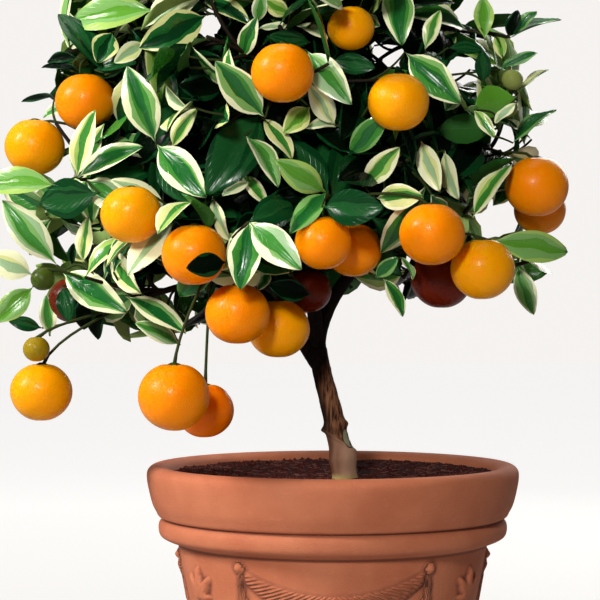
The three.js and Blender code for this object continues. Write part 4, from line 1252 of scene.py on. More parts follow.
# %% Fruit: place and diameter in mm
FRONT_FRUIT = np.array([
    [13, -130, 658, 39], [-43, -175, 616, 51], [-214, -60, 604, 52], [-263, -20, 568, 53],
    [-167, -150, 503, 50], [-115, -160, 470, 53], [-80, -150, 422, 53], [-47, -103, 409, 52],
    [-10, -150, 480, 47], [16, -106, 475, 48], [79, -150, 487, 54], [123, -120, 459, 54],
    [92, -74, 451, 53], [175, -60, 531, 55], [184, -8, 513, 46], [51, -160, 594, 50], [-252, -60, 354, 53],
    [-131, -170, 355, 58], [-108, -118, 341, 48], [-22, -76, 441, 40], [-230, -20, 433, 42],
    [-249, -75, 451, 21], [-255, -70, 391, 23], [154, -60, 623, 19], [150, -50, 600, 20],
], float)
BACK_FRUIT_COUNT = 15
BACK_FRUIT_DIAMETER = 51
BACK_FRUIT_SHARE = 0.86
BACK_FRUIT_LOWEST = -0.75
BACK_FRUIT_ROOM = 9
behind = spread_headings(2 * BACK_FRUIT_COUNT)[:, [0, 2, 1]]
behind = behind[(behind[:, 1] > 0) & (behind[:, 2] > BACK_FRUIT_LOWEST)]
back_middles = CROWN_MIDDLE + behind / crown_share(CROWN_MIDDLE + behind)[:, None] * BACK_FRUIT_SHARE
back_room = np.full(len(back_middles), BACK_FRUIT_DIAMETER / 2 + BACK_FRUIT_ROOM)
back_middles = back_middles[~in_gap(back_middles, back_room)]
fruit_middles = np.concatenate([FRONT_FRUIT[:, :3], back_middles])
fruit_radii = np.append(FRONT_FRUIT[:, 3], np.full(len(back_middles), BACK_FRUIT_DIAMETER)) / 2
print("fruit:", len(fruit_radii))

# %% Where shoots end
FRONT_SHOOTS = np.array([
    [-148, -120, 564], [-217, -90, 535], [-233, -100, 461], [-172, -100, 425], [-57, -170, 581],
    [-70, -180, 496], [14, -160, 520], [78, -140, 618], [55, -130, 666], [-180, -110, 667],
    [-124, -140, 655], [-5, -165, 625], [142, -75, 590], [168, -50, 655], [124, -90, 526],
    [180, -40, 470], [48, -100, 436], [-123, -150, 531], [-98, -140, 580], [-29, -160, 540],
    [-254, -50, 641], [-258, -60, 480],
], float)
FRONT_SHOOT_LEAVES = 8
SHELLS = ((64, 0.78, 7, 48), (18, 0.48, 5, 48), (90, 0.64, 5, 34), (60, 0.44, 4, 34))
LOWEST_RISE = -0.66
TIP_SCATTER = 0.22
TIP_DEPTH_SCATTER = 0.08


def shoot_tips():
    """The front's shoots, then each shell's: even headings with seeded scatter, kept where there is room.

    A shell is its count of headings, share of the reach, leaves of a shoot and room in mm."""
    random = Chance(SEED + 1)
    tips = [(tip, FRONT_SHOOT_LEAVES) for tip in FRONT_SHOOTS]
    for count, share, leaves, spacing in SHELLS:
        for heading in spread_headings(count):
            scatter = np.array([random() - 0.5, random() - 0.5, random() - 0.5])
            aim = unit(heading + TIP_SCATTER * scatter)
            reach = (share + TIP_DEPTH_SCATTER * (random() - 0.5)) / crown_share(CROWN_MIDDLE + aim)
            tip = CROWN_MIDDLE + aim * reach
            apart = norm(np.array([other for other, _ in tips]) - tip).min()
            if heading[2] > LOWEST_RISE and apart > spacing:
                tips.append((tip, leaves))
    return tips


# %% Stems that go on from the limbs
FRUIT_OWNER = 100
LIMB_OWNER = 101
STEM_SHORTFALL = 0.12

obstacles = Obstacles()
for way in limbs.values():
    obstacles.add(*along_way(way), LIMB_OWNER)
twigs = []
skeletons = []
for mass, (middle, limb, foot) in enumerate(MASSES.values()):
    heading = limbs[limb].along(1.0)
    start = np.array(foot) + SOIL_GAP * heading
    end = np.array(middle) + STEM_SHORTFALL * (start - np.array(middle))
    stem = Way(curve(bend(start, heading, end, 1)), limbs[limb].radius(1.0), TWIG_RADII[0])
    skeletons.append(Skeleton())
    skeletons[mass].grow(stem, 0)
    obstacles.add(*along_way(stem), mass)
    twigs.append((stem, mass, "stem"))
print("stems:", len(twigs))

# %% Stalks of the fruit
STALK_RADIUS = 1.5
STALK_SINK = 0.78
STALK_RISE = 0.8
STALK_LEAN = 0.12
STALK_SWINGS = (0, 1.2, 2.4, 3.4)
STALK_CHECKS = np.linspace(0, 0.75, 13)
FRUIT_GIVE = 1.0


def stalk_way(point, middle, radius):
    """A stalk that bends over and goes down into its fruit, swinging out as little as it needs to pass it."""
    top = middle + STALK_SINK * radius * UPWARDS
    over = top + STALK_RISE * radius * UPWARDS
    over = over + STALK_LEAN * (point - over)
    away = unit((point - middle) * [1, 1, 0])
    overs = [over + away * swing * radius for swing in STALK_SWINGS]
    ways = [Way(curve([point, over, top]), STALK_RADIUS, STALK_RADIUS) for over in overs]
    nearest = [norm(way.at(STALK_CHECKS) - middle).min() for way in ways]
    passing = [way for way, near in zip(ways, nearest) if near > radius + STALK_RADIUS]
    return (passing or ways)[0]


for middle, radius in zip(fruit_middles, fruit_radii):
    mass = nearest_mass(middle)
    point, _, _ = skeletons[mass].joint(middle)
    stalk = stalk_way(point, middle, radius)
    obstacles.add(*along_way(stalk), mass)
    obstacles.add(middle[None], radius - FRUIT_GIVE, FRUIT_OWNER)
    twigs.append((stalk, mass, "stalk"))
print("stems and stalks:", len(twigs))

# %% Shoots
SHOOT_BENDS = (0.45, 0.1, 0.8)
TWIG_MARGIN = -4
TWIG_CLEARANCE = 2.0
shoots = []


def grow_shoot(tip, leaves):
    """A shoot from its mass's skeleton to its tip, by the first bend that stays in its space and clear."""
    mass = nearest_mass(tip)
    point, heading, before = skeletons[mass].joint(tip)
    for keep in SHOOT_BENDS:
        way = Way(curve(bend(point, heading, tip, keep)), *TWIG_RADII)
        line, _ = along_way(way)
        if in_space(line[2:], mass, TWIG_MARGIN) and obstacles.clear(line[1:], mass, TWIG_CLEARANCE):
            skeletons[mass].grow(way, before)
            shoots.append((way, mass, leaves))
            twigs.append((way, mass, "shoot"))
            return True
    return False


grown = [grow_shoot(tip, leaves) for tip, leaves in shoot_tips()]
print("shoots grown:", sum(grown), "of", len(grown))

# %% [markdown]
# ## The leaves that make the front
# Nearly ninety leaves give the photographed side its look, so each is told by the place of its root and
# tip in the photograph, the width that shows and its kind. Its depth follows from the crown's outline, and
# its roll from how narrow it shows. A twig grows to each of them from the nearest good place.

# %% Leaves told one by one: root, tip and width in pixels, kind, and how far forward in mm
FRONT_LEAVES = [
    # A leaf of kind black is painted shade: a near-black leaf where the crown lies deep in shade
    (157, 10, 69, 24, 34, "light", 0), (105, 75, 58, 14, 26, "deep", 0), (112, 32, 97, 63, 28, "fine", 5),
    (207, 15, 139, 48, 38, "fine", 10), (143, 42, 114, 63, 18, "cream", 15),
    (78, 58, 47, 62, 10, "black", 0), (80, 73, 41, 68, 7, "black", 0), (56, 97, 21, 102, 6, "black", 0),
    (95, 70, 138, 63, 14, "deep", 0), (156, 144, 127, 66, 35, "edged", 10),
    (156, 144, 207, 198, 35, "edged", 12), (172, 148, 198, 108, 17, "olive", 0),
    (77, 178, 96, 110, 24, "olive", 20), (77, 178, 144, 147, 22, "edged", 14),
    (58, 186, -20, 188, 28, "light", 0), (100, 193, 40, 203, 40, "deep", 10),
    (168, 210, 110, 180, 18, "cream", -6), (57, 265, 2, 200, 33, "mint", 8),
    (83, 263, 89, 217, 16, "olive", 0), (72, 265, 74, 243, 8, "black", 0),
    (33, 275, -12, 255, 28, "cream", 0), (33, 287, -5, 322, 25, "light", 0),
    (42, 328, 8, 320, 14, "deep", 0), (50, 336, 46, 295, 17, "mint", 0),
    (62, 272, 128, 313, 35, "edged", 28), (125, 296, 186, 334, 22, "edged", 6),
    (180, 345, 135, 323, 18, "mint", 0), (265, 118, 215, 61, 36, "edged", 25),
    (262, 112, 206, 196, 50, "deep", 6), (225, 90, 178, 85, 26, "black", 0),
    (240, 60, 257, 17, 18, "edged", 0), (200, 0, 250, 25, 18, "fine", 0),
    (257, 24, 262, -10, 14, "mint", 0), (258, 29, 290, 29, 8, "cream", 0), (290, 15, 263, 0, 16, "lime", 0),
    (310, 42, 268, 36, 18, "deep", 0), (307, 51, 352, 105, 32, "mint", 26),
    (335, 125, 309, 84, 22, "cream", 6), (340, 125, 305, 128, 10, "cream", 0),
    (310, 107, 283, 133, 24, "lime", 14), (262, 118, 292, 160, 18, "olive", 8),
    (327, 193, 275, 160, 27, "light", 18), (245, 135, 278, 188, 20, "mint", 22),
    (347, 156, 388, 113, 24, "emerald", 8), (362, 187, 400, 147, 24, "olive", 4),
    (332, 60, 376, 68, 20, "deep", 0), (293, 25, 328, 40, 8, "cream", 0),
    (322, 207, 385, 208, 36, "deep", 44), (327, 192, 290, 234, 22, "emerald", 24),
    (249, 222, 240, 290, 33, "edged", 66), (249, 222, 302, 270, 33, "mint", 66),
    (212, 195, 231, 241, 13, "cream", 12), (240, 173, 267, 207, 14, "olive", 4),
    (250, 182, 222, 196, 10, "cream", 20), (226, 262, 186, 268, 23, "black", 84),
    (310, 295, 268, 285, 22, "black", 40), (270, 270, 258, 290, 12, "edged", 20),
    (375, 278, 398, 257, 14, "emerald", 0), (383, 278, 403, 317, 14, "edged", 0),
    (400, 257, 413, 280, 7, "mint", 0), (395, -20, 402, 46, 32, "edged", 16),
    (425, 50, 440, 10, 16, "olive", 0), (405, 52, 461, 104, 34, "edged", 30),
    (485, 40, 483, -2, 21, "light", 0), (508, 38, 518, 10, 14, "black", 0),
    (515, 33, 537, 11, 10, "emerald", 0), (510, 38, 562, 20, 8, "emerald", 0),
    (503, 60, 497, 33, 12, "lime", 0), (500, 70, 538, 53, 10, "emerald", 0),
    (518, 93, 550, 69, 5, "cream", 0), (484, 83, 482, 50, 15, "deep", 0), (448, 48, 483, 50, 12, "deep", 0),
    (405, 5, 455, 3, 10, "black", 0), (517, 97, 475, 105, 34, "under", 34),
    (513, 143, 557, 109, 13, "emerald", 0), (421, 140, 440, 192, 22, "cream", 8),
    (445, 150, 459, 200, 16, "cream", 0), (376, 198, 423, 196, 26, "olive", 10),
    (472, 219, 512, 164, 20, "olive", 8), (490, 240, 568, 252, 34, "light", 0),
    (517, 265, 534, 315, 22, "mint", 0), (92, 280, 56, 312, 20, "black", -17),
    (86, 292, 84, 330, 22, "black", 6), (62, 286, 70, 322, 18, "deep", 26),
    (98, 296, 98, 340, 16, "black", -10), (517, 103, 495, 124, 9, "cream", 40),
    (474, 110, 494, 138, 13, "olive", 30),
]
print("leaves told one by one:", len(FRONT_LEAVES))

# %% How deep those leaves stand
NEAR_SHARE = 0.85
DEPTH_SHARES = (0.62, 0.78)
STEEPEST = 0.35
LEAST_REST = 0.01
told = np.array([row[:5] for row in FRONT_LEAVES], float)
forward = np.array([row[6] for row in FRONT_LEAVES], float)
front_kinds = [row[5] for row in FRONT_LEAVES]


def near_face(places):
    """The y of the crown's near side at these places: the outline's formula at share 0.85, solved for y."""
    off = np.abs((seen(places, 0.0) - CROWN_MIDDLE) / CROWN_REACH) ** CROWN_SQUARENESS
    rest = np.maximum(NEAR_SHARE**CROWN_SQUARENESS - off[..., 0] - off[..., 2], LEAST_REST)
    return -CROWN_REACH[1] * rest ** (1 / CROWN_SQUARENESS)


span = norm(told[:, 2:4] - told[:, :2])
root_depth = DEPTH_SHARES[0] * near_face(told[:, :2]) - forward
tip_step = DEPTH_SHARES[1] * near_face(told[:, 2:4]) - forward - root_depth
tip_depth = root_depth + np.clip(tip_step, -STEEPEST * span, STEEPEST * span)
front_roots = seen(told[:, :2], root_depth)
front_tips = seen(told[:, 2:4], tip_depth)
front_scale = (root_depth - CAMERA_PLACE[1]) / FOCAL_PIXELS
print("depths of roots:", round(root_depth.min()), round(root_depth.max()))

# %% How those leaves are turned
FLATTEST_RATIO = 0.19
SIDEWAYS_LEFT = 0.5
FRONT_CURL, FRONT_CURL_RANGE = 0.25, 0.4
chord = front_tips - front_roots
chord_length = norm(chord)
chord = unit(chord)
to_eye = CAMERA_PLACE - front_roots
to_eye = unit(to_eye - chord * (to_eye * chord).sum(1, keepdims=True))
sideways = np.cross(chord, to_eye)
sideways *= np.sign(sideways[:, 2:] - SIDEWAYS_LEFT * sideways[:, :1])
half_shown = told[:, 4] * front_scale / 2
half_width = np.maximum(half_shown, FLATTEST_RATIO * chord_length)
roll = np.arccos(half_shown / half_width)[:, None]
face = to_eye * np.cos(roll) + sideways * np.sin(roll)
face = np.where(np.array(front_kinds)[:, None] == "under", -face, face)
front_curl = FRONT_CURL + FRONT_CURL_RANGE * np.random.default_rng(SEED).random(len(told))
half_curl = front_curl[:, None] / 2
front_heading = chord * np.cos(half_curl) + face * np.sin(half_curl)
front_across = unit(np.cross(face, front_heading))
front_length = chord_length * half_curl[:, 0] / np.sin(half_curl[:, 0])
front_rows = np.column_stack([front_roots, front_heading, front_across, front_length, half_width, front_curl])
print("longest", round(front_length.max()), "mm")

# %% Discs in the photograph that filling leaves may not cover
DISC_SHARES = np.array([0.15, 0.3, 0.45, 0.6, 0.75, 0.9])
DISC_FULLNESS = 0.7
DISC_SLACK = 3
FRUIT_SHOWING = 0.9
SHADED_FRUIT = 20

disc_places = told[:, None, :2] + (told[:, None, 2:4] - told[:, None, :2]) * DISC_SHARES[:, None]
disc_radii = told[:, 4:5] / 2 * np.sin(math.pi * DISC_SHARES) ** DISC_FULLNESS
disc_depths = root_depth[:, None] + (tip_depth - root_depth)[:, None] * DISC_SHARES
leaf_discs = [disc_places.reshape(-1, 2), disc_radii.ravel(), disc_depths.ravel() + DISC_SLACK]
showing = np.delete(FRONT_FRUIT, SHADED_FRUIT, axis=0)
fruit_shown = FRUIT_SHOWING * showing[:, 3] / 2 * FOCAL_PIXELS / (showing[:, 1] - CAMERA_PLACE[1])
fruit_discs = np.column_stack([shown(showing[:, :3]), fruit_shown, showing[:, 1]])
discs = np.concatenate([np.column_stack(leaf_discs), fruit_discs])


def covers(points):
    """Whether a point would hide one of the leaves told one by one, or a fruit of the front."""
    away = norm(shown(points)[:, None] - discs[:, :2])
    return bool(((away < discs[:, 2]) & (points[:, 1:2] < discs[:, 3])).any())


print("discs:", len(discs))

# %% Twigs to those leaves
PETIOLE_RADII = (1.2, 0.8)
PETIOLE_BENDS = (0.6, 0.3, 0.9, 0.1)
PETIOLE_CLEARANCE = 1.0
PETIOLE_SHORTEST = 1.5
PETIOLE_END_POINTS = 4


def is_free(way, mass):
    """Whether a twig is clear of obstacles and, but for its end under the leaf, covers nothing."""
    line, _ = along_way(way)
    return obstacles.clear(line, mass, PETIOLE_CLEARANCE) and not covers(line[:-PETIOLE_END_POINTS])


reached = 0
for root in front_roots:
    mass = nearest_mass(root)
    point, heading, before = skeletons[mass].joint(root)
    if norm(root - point) < PETIOLE_SHORTEST:
        continue
    ways = [Way(curve(bend(point, heading, root, keep)), *PETIOLE_RADII) for keep in PETIOLE_BENDS]
    free = [way for way in ways if is_free(way, mass)]
    way = (free or ways)[0]
    reached += bool(free)
    skeletons[mass].grow(way, before)
    twigs.append((way, mass, "petiole"))
print("reached freely:", reached, "of", len(front_roots))

# %% Finer side twigs
SIDE_SHARES = (0.45, 0.75)
SIDE_LEAN = 0.9
SIDE_LENGTH, SIDE_LENGTH_RANGE = 34, 28
SIDE_TRIES, SIDE_TURN = 4, 1.3
SIDE_SAG = 0.1
SIDE_KEEP = 0.5
SIDE_LEAVES = 4
SIDE_RADII = (1.3, 0.9)
SIDE_MARGIN = -8
SIDE_CLEARANCE = 1.5
FARTHEST_TWIG = 0.93
LOWEST_TWIG = 395


def turned_out(heading, level, angle):
    """The direction square to a heading, turned about it by this angle from the level one."""
    return level * math.cos(angle) + np.cross(heading, level) * math.sin(angle)


def has_room(line, mass):
    """Whether a side twig stays in the crown and its mass, hides nothing and is clear of everything."""
    inside = crown_share(line[-1]) < FARTHEST_TWIG and line[-1][2] > LOWEST_TWIG
    if not inside or hides_sky(line[-2:]) or covers(line):
        return False
    return in_space(line[2:], mass, SIDE_MARGIN) and obstacles.clear(line[1:], mass, SIDE_CLEARANCE)


random = Chance(SEED + 5)
for way, mass, _ in list(shoots):
    swing = random() * 2 * math.pi
    for share in SIDE_SHARES:
        swing += GOLDEN_ANGLE
        point, heading = way.at(share), way.along(share)
        level = unit(np.cross(UPWARDS, heading))
        for attempt in range(SIDE_TRIES):
            out = turned_out(heading, level, swing + attempt * SIDE_TURN)
            length = SIDE_LENGTH + SIDE_LENGTH_RANGE * random()
            tip = point + length * (heading * math.cos(SIDE_LEAN) + out * math.sin(SIDE_LEAN))
            tip = tip - SIDE_SAG * length * UPWARDS
            side = Way(curve(bend(point, heading, tip, SIDE_KEEP)), *SIDE_RADII)
            if has_room(along_way(side)[0], mass):
                shoots.append((side, mass, SIDE_LEAVES))
                twigs.append((side, mass, "side"))
                break
print("shoots with side twigs:", len(shoots))

# %% [markdown]
# ## The leaves that fill the crown
# The rest of the crown is grown by rule: leaves stand round the end of every twig by the golden angle.
# A leaf tries several places and takes the first that is inside the crown, clear of fruit and limbs, not
# crowded, and neither in a gap of the crown nor in front of what the photograph shows.

# %% Room outside the fruit at the back
SHADE_STEPS = (1.0, 1.9, 2.8)
SHADE_WIDTH = 0.8
shade = Obstacles()
outward = unit((back_middles - CROWN_MIDDLE) * [1, 1, 0])
back_radii = fruit_radii[len(FRONT_FRUIT) :]
for step in SHADE_STEPS:
    shade.add(back_middles + outward * (back_radii * step)[:, None], back_radii * SHADE_WIDTH, FRUIT_OWNER)
print("balls kept free:", len(shade.rows))

# %% One leaf on trial
LEAF_LENGTH = 67
LEAF_SHORTEST, LEAF_RANGE = 0.76, 0.4
LEAF_CURLS = (0.15, 0.8)
TRY_TURN = 0.7
LEAN, LEAN_BACK, LEAN_TRY, LEAN_RANGE = 0.55, 0.14, 0.06, 0.3
FACE_UP, FACE_OUT, FACE_SCATTER = 0.35, 0.45, 0.5
LEAF_SPACING = 18
LEAF_CLEARANCE = 1.2
LOWEST_LEAVES = ((-260, 0, 60, 260), (388, 404, 428, 442))
PROBE_SHARES = np.array([0.15, 0.3, 0.5, 0.7, 0.87, 1.0])
PROBE_HALF = 0.22


def leaf_on_trial(root, along, number, attempt, swing):
    """The heading, the direction across, the length and the curl of one leaf on trial.

    It leans out more the further back it stands, and its face is turned up and outwards by fixed shares."""
    level = unit(np.cross(UPWARDS, along))
    out = turned_out(along, level, swing + attempt * TRY_TURN)
    lean = LEAN + LEAN_BACK * number + LEAN_TRY * attempt + LEAN_RANGE * random()
    heading = unit(along * math.cos(lean) + out * math.sin(lean))
    outwards = unit(root - CROWN_MIDDLE)
    face = along * math.sin(lean) - out * math.cos(lean) + FACE_UP * UPWARDS + FACE_OUT * outwards
    face = face + np.array([random() - 0.5, random() - 0.5, random() - 0.5]) * FACE_SCATTER
    length = LEAF_LENGTH * (LEAF_SHORTEST + LEAF_RANGE * random())
    return heading, unit(np.cross(face, heading)), length, np.interp(random(), (0, 1), LEAF_CURLS)


def leaf_probe(root, heading, across, length, bow):
    """Points over the bowed leaf's length and width, for testing what it would touch or hide."""
    half = length * PROBE_HALF * np.sin(math.pi * PROBE_SHARES[1:5, None])
    ahead, down = np.sin(bow * PROBE_SHARES) / bow, (1 - np.cos(bow * PROBE_SHARES)) / bow
    rib = root + length * (heading * ahead[:, None] - np.cross(heading, across) * down[:, None])
    return np.concatenate([rib, rib[1:5] + across * half, rib[1:5] - across * half])


def leaf_fits(probe, mass, taken):
    """Whether a leaf isn't crowded, stays in the crown, hides nothing and is clear of fruit and limbs."""
    if norm(taken - probe[2]).min() < LEAF_SPACING:
        return False
    if crown_share(probe).max() > 1 or probe[:, 2].min() < np.interp(probe[2, 0], *LOWEST_LEAVES):
        return False
    if hides_sky(probe) or covers(probe):
        return False
    return obstacles.clear(probe, mass, LEAF_CLEARANCE) and shade.clear(probe, mass, 0)


# %% Where leaves stand
LEAF_TRIES = 12
LEAF_STEP, LEAF_FROM_TIP = 9, 1.5
FARTHEST_BACK = 0.85
LEAF_RATIOS = (0.21, 0.25)
MOST_LEAVES = 4000
filled = []
leaf_shares = {}
leaf_middles = np.zeros((MOST_LEAVES, 3))
leaf_middles[: len(front_roots)] = (front_roots + front_tips) / 2
leaf_count = len(front_roots)
random = Chance(SEED + 2)
for way, mass, count in shoots:
    swing = random() * 2 * math.pi
    for number in range(count):
        share = 1 - min(FARTHEST_BACK, (LEAF_FROM_TIP + LEAF_STEP * number) / way.length)
        root, along = way.at(share), way.along(share)
        swing += GOLDEN_ANGLE
        for attempt in range(LEAF_TRIES):
            heading, across, length, bow = leaf_on_trial(root, along, number, attempt, swing)
            probe = leaf_probe(root, heading, across, length, bow)
            if not leaf_fits(probe, mass, leaf_middles[:leaf_count]):
                continue
            leaf_middles[leaf_count] = probe[2]
            leaf_count += 1
            leaf_shares[way] = max(share, leaf_shares.get(way, 0))
            half_width = length * np.interp(random(), (0, 1), LEAF_RATIOS)
            filled.append((*root, *heading, *across, length, half_width, bow))
            break
filled_rows = np.array(filled)
print("leaves:", leaf_count)

# %% [markdown]
# ## Leaf surfaces
# A mandarin leaf is a pointed ellipse, folded a little along its rib, arched between rib and edge and waved
# at the margin. This tree is variegated: a dark heart, paler green beside it and a cream margin.
# Instances don't survive an export. So every leaf is a closed tube squeezed flat, with its points across the
# upper side on the borders between the colours and one point under the rib. The few leaves of the front
# have a finer mesh than the many that fill the crown.

# %% Borders between the colours
FILL_RINGS = np.array([0.12, 0.22, 0.37, 0.54, 0.71, 0.87])
FRONT_RINGS = np.array([0.05, 0.1, 0.15, 0.22, 0.3, 0.4, 0.5, 0.6, 0.7, 0.79, 0.87, 0.94])
MARGIN, MARGIN_RANGE = 0.52, 0.38
HEART, HEART_RANGE = 0.2, 0.22
BORDER_WAVE = 0.12
WAVES, WAVES_RANGE, WAVES_PHASE = 4, 6, 6
QUICK, QUICK_RANGE, QUICK_PHASE = 13, 5, 9
SLOW_SHARE, QUICK_SHARE = 0.7, 0.6
RAGGED = 1.1
WIDEST_GREEN = 0.94
BAND_SHARE = 0.45


def borders(many, shares, chance, fine):
    """Where the colours meet, as shares of the half width, on both sides of the rib: (leaves, rings, points).

    The borders of the cream margin and of the dark heart each wave along the leaf as a sine."""
    draw = chance.random((many, 2, 6))
    margin = MARGIN + MARGIN_RANGE * draw[..., 0]
    heart = HEART + HEART_RANGE * draw[..., 1]
    waves, phases = WAVES + WAVES_RANGE * draw[..., 2::2], WAVES_PHASE * draw[..., 3::2]
    wave = np.sin(shares * waves[..., :1] + phases[..., :1])
    other = np.sin(shares * waves[..., 1:] + phases[..., 1:])
    if fine:
        quick = np.sin(shares * (QUICK + QUICK_RANGE * draw[..., 4:5]) + QUICK_PHASE * draw[..., 2:3])
        wave = SLOW_SHARE * wave + QUICK_SHARE * quick + RAGGED * (chance.random(wave.shape) - 0.5)
        other = other + RAGGED * (chance.random(wave.shape) - 0.5)
    margin = np.minimum(margin[..., None] + BORDER_WAVE * wave, WIDEST_GREEN)
    heart = heart[..., None] + BORDER_WAVE * other
    edge = np.ones_like(margin)
    band = margin * BAND_SHARE + heart * (1 - BAND_SHARE)
    sides = [edge, margin, band, heart] if fine else [edge, margin, heart]
    rib = [0 * edge[:, 0]]
    left, right = [-value[:, 0] for value in sides], [value[:, 1] for value in reversed(sides)]
    return np.stack(left + rib + right + rib, -1)


# %% Leaves as grids
PETIOLE_SHARE = 0.09
PETIOLE_HALF = 0.8
BLADE_LEAN, BLADE_FULLNESS = 0.88, 0.9
FOLD, FOLD_RANGE = 6, 20
FRONT_TWIST, FILL_TWIST = 0.25, 0.7
EDGE_WAVE, EDGE_WAVE_RANGE, EDGE_WAVES = 0.3, 1.1, 9
ARCH = 0.34
THICKNESS, RIB_DEPTH = 0.3, 0.8


def leaf_meshes(rows, shares, chance, fine=False):
    """All leaves at once, as (leaves, points, 3), with their uv.

    The rib is an arc: length sin(c s) / c ahead and length (1 - cos(c s)) / c down, with c its curl. The
    half width goes as sin(pi b^0.88)^0.9, with b the share of the blade. Across the leaf the height is
    fold * |u| + arch * |u| (1 - |u|), and the edge waves along its length."""
    many = len(rows)
    root, heading, across = rows[:, None, 0:3], rows[:, None, 3:6], rows[:, None, 6:9]
    length, half_width, curl = rows[:, 9:12].T[..., None]
    up = np.cross(heading, across)
    draw = chance.random((many, 4))
    fold = np.radians(FOLD + FOLD_RANGE * draw[:, 0])[:, None, None]
    twist = (draw[:, 1:2] - 0.5) * (FRONT_TWIST if fine else FILL_TWIST)
    wave, phase = EDGE_WAVE + EDGE_WAVE_RANGE * draw[:, 2:3], draw[:, 3:4] * 2 * math.pi
    v = shares + 0 * length
    blade = np.clip((v - PETIOLE_SHARE) / (1 - PETIOLE_SHARE), 0, 1)
    fullness = np.sin(math.pi * blade**BLADE_LEAN) ** BLADE_FULLNESS
    half = (half_width * fullness + PETIOLE_HALF)[..., None]
    bent = (curl * np.append(shares, 1))[..., None]
    sin, cos = np.sin(bent), np.cos(bent)
    line = root + heading * (length[..., None] * sin / curl[..., None])
    line = line - up * (length[..., None] * (1 - cos) / curl[..., None])
    ring_up = (up * cos + heading * sin)[:, :-1]
    ring_along = (heading * cos - up * sin)[:, :-1]
    lean = (twist * v)[..., None]
    ring_across = across * np.cos(lean) + ring_up * np.sin(lean)
    ring_up = np.cross(ring_along, ring_across)

    u = borders(many, shares, chance, fine)
    size = np.abs(u)
    spread = u * half * np.cos(fold)
    rise = size * half * np.sin(fold) + ARCH * half * size * (1 - size) + THICKNESS * (1 - size)
    rise[..., -1] -= RIB_DEPTH
    waving = wave * np.sin(v * EDGE_WAVES + phase) * (blade > 0)
    rise = rise + waving[..., None] * size**2
    skin = line[:, :-1, None] + ring_across[:, :, None] * spread[..., None]
    skin = skin + ring_up[:, :, None] * rise[..., None]
    uv = np.stack([0.5 + 0.5 * u, v[..., None] + 0 * u], -1).reshape(many, -1, 2)
    poles_uv = np.broadcast_to([[0.5, 0.0], [0.5, 1.0]], (many, 2, 2))
    points = np.concatenate([skin.reshape(many, -1, 3), root, line[:, -1:]], 1)
    return points, np.concatenate([uv, poles_uv], 1)


print("rings of a leaf:", len(FRONT_RINGS), len(FILL_RINGS))

# %% [markdown]
# ## Leaf colours
# Each leaf is one of eleven kinds: the tones of its margin, band, green beside the rib, heart and underside.
# Now and then one side of the rib takes the next tone, so that no two leaves match. The colours are plain,
# and the gloss comes from the shader: a waxy roughness, and side veins pressed in by a bump.

# %% Tones and kinds, with each kind's chances outside and inside the crown
# black is painted shade, a near-black that stands for leaves deep in the crown's shade
TONES = {
    "black": (3, 14, 5), "deep": (8, 56, 24), "core": (26, 98, 40), "green": (60, 132, 48),
    "vivid": (88, 150, 42), "light": (122, 172, 94), "mint": (156, 190, 142), "lime": (158, 192, 94),
    "butter": (222, 226, 152), "cream": (238, 242, 198), "back_green": (34, 82, 28),
    "back_pale": (142, 172, 92), "dusk": (22, 76, 34),
}
TONE = {name: number for number, name in enumerate(TONES)}
KINDS = {
    "edged": "cream light green core back_green",
    "fine": "butter core core deep back_green",
    "mint": "cream mint light green back_pale",
    "light": "lime light light vivid back_pale",
    "olive": "cream butter lime green back_pale",
    "emerald": "light green core core back_green",
    "cream": "cream cream butter mint back_pale",
    "lime": "butter lime lime vivid back_pale",
    "deep": "deep dusk deep dusk green",
    "black": "deep black black black deep",
    "under": "butter lime light light vivid",
}
KIND_TONES = np.array([[TONE[tone] for tone in kind.split()] for kind in KINDS.values()])
KIND_NUMBER = {name: number for number, name in enumerate(KINDS)}
OUTER_CHANCES = (0.26, 0.06, 0.18, 0.12, 0.12, 0.08, 0.05, 0.04, 0.06, 0.03, 0.0)
# Painted shade: inside the crown most leaves are dealt the near-black kind or the plain deep one
INNER_CHANCES = (0.02, 0.03, 0.01, 0.01, 0.01, 0.02, 0.0, 0.0, 0.24, 0.66, 0.0)
print("tones:", len(TONES), "kinds:", len(KINDS))

# %% Deal the colours
OUTER_FROM, OUTER_TO = 0.56, 0.8
OUTWARD_BELOW, INWARD_ABOVE = 0.16, 0.78
FILL_STRIPS = np.array([0, 1, 3, 3, 1, 0, 4, 4])
FRONT_STRIPS = np.array([0, 1, 2, 3, 3, 2, 1, 0, 4, 4])


def deal_kinds(rows, chance):
    """A kind for each leaf: variegated ones where the crown is lit, and inside it mostly near-black or deep
    ones, as painted shade.
    """
    share = crown_share(rows[:, :3] + rows[:, 3:6] * rows[:, 9:10] / 2)
    draw = chance.random(len(rows))
    outer = np.searchsorted(np.cumsum(OUTER_CHANCES), draw)
    inner = np.searchsorted(np.cumsum(INNER_CHANCES), draw)
    lit = chance.random(len(rows)) < smooth(share, OUTER_FROM, OUTER_TO)
    return np.minimum(np.where(lit, outer, inner), KIND_NUMBER["black"])


def deal_tones(kinds, shares, strips, chance):
    """A tone for each face of each leaf, in the order of the quads and then the two caps.

    On some leaves the band or the green takes its neighbour's tone on one side of the rib."""
    zone = np.tile(strips, len(shares) + 1)
    side = np.tile(np.arange(len(strips)) >= (len(strips) - 2) // 2, len(shares) + 1).astype(int)
    tones = KIND_TONES[kinds][:, zone]
    outward = KIND_TONES[kinds][:, np.maximum(zone - 1, 0)]
    inward = KIND_TONES[kinds][:, np.minimum(zone + 1, 3)]
    draw = chance.random((len(kinds), 2))[:, side]
    tones = np.where((draw < OUTWARD_BELOW) & (zone == 2), outward, tones)
    return np.where((draw > INWARD_ABOVE) & (zone == 1), inward, tones)


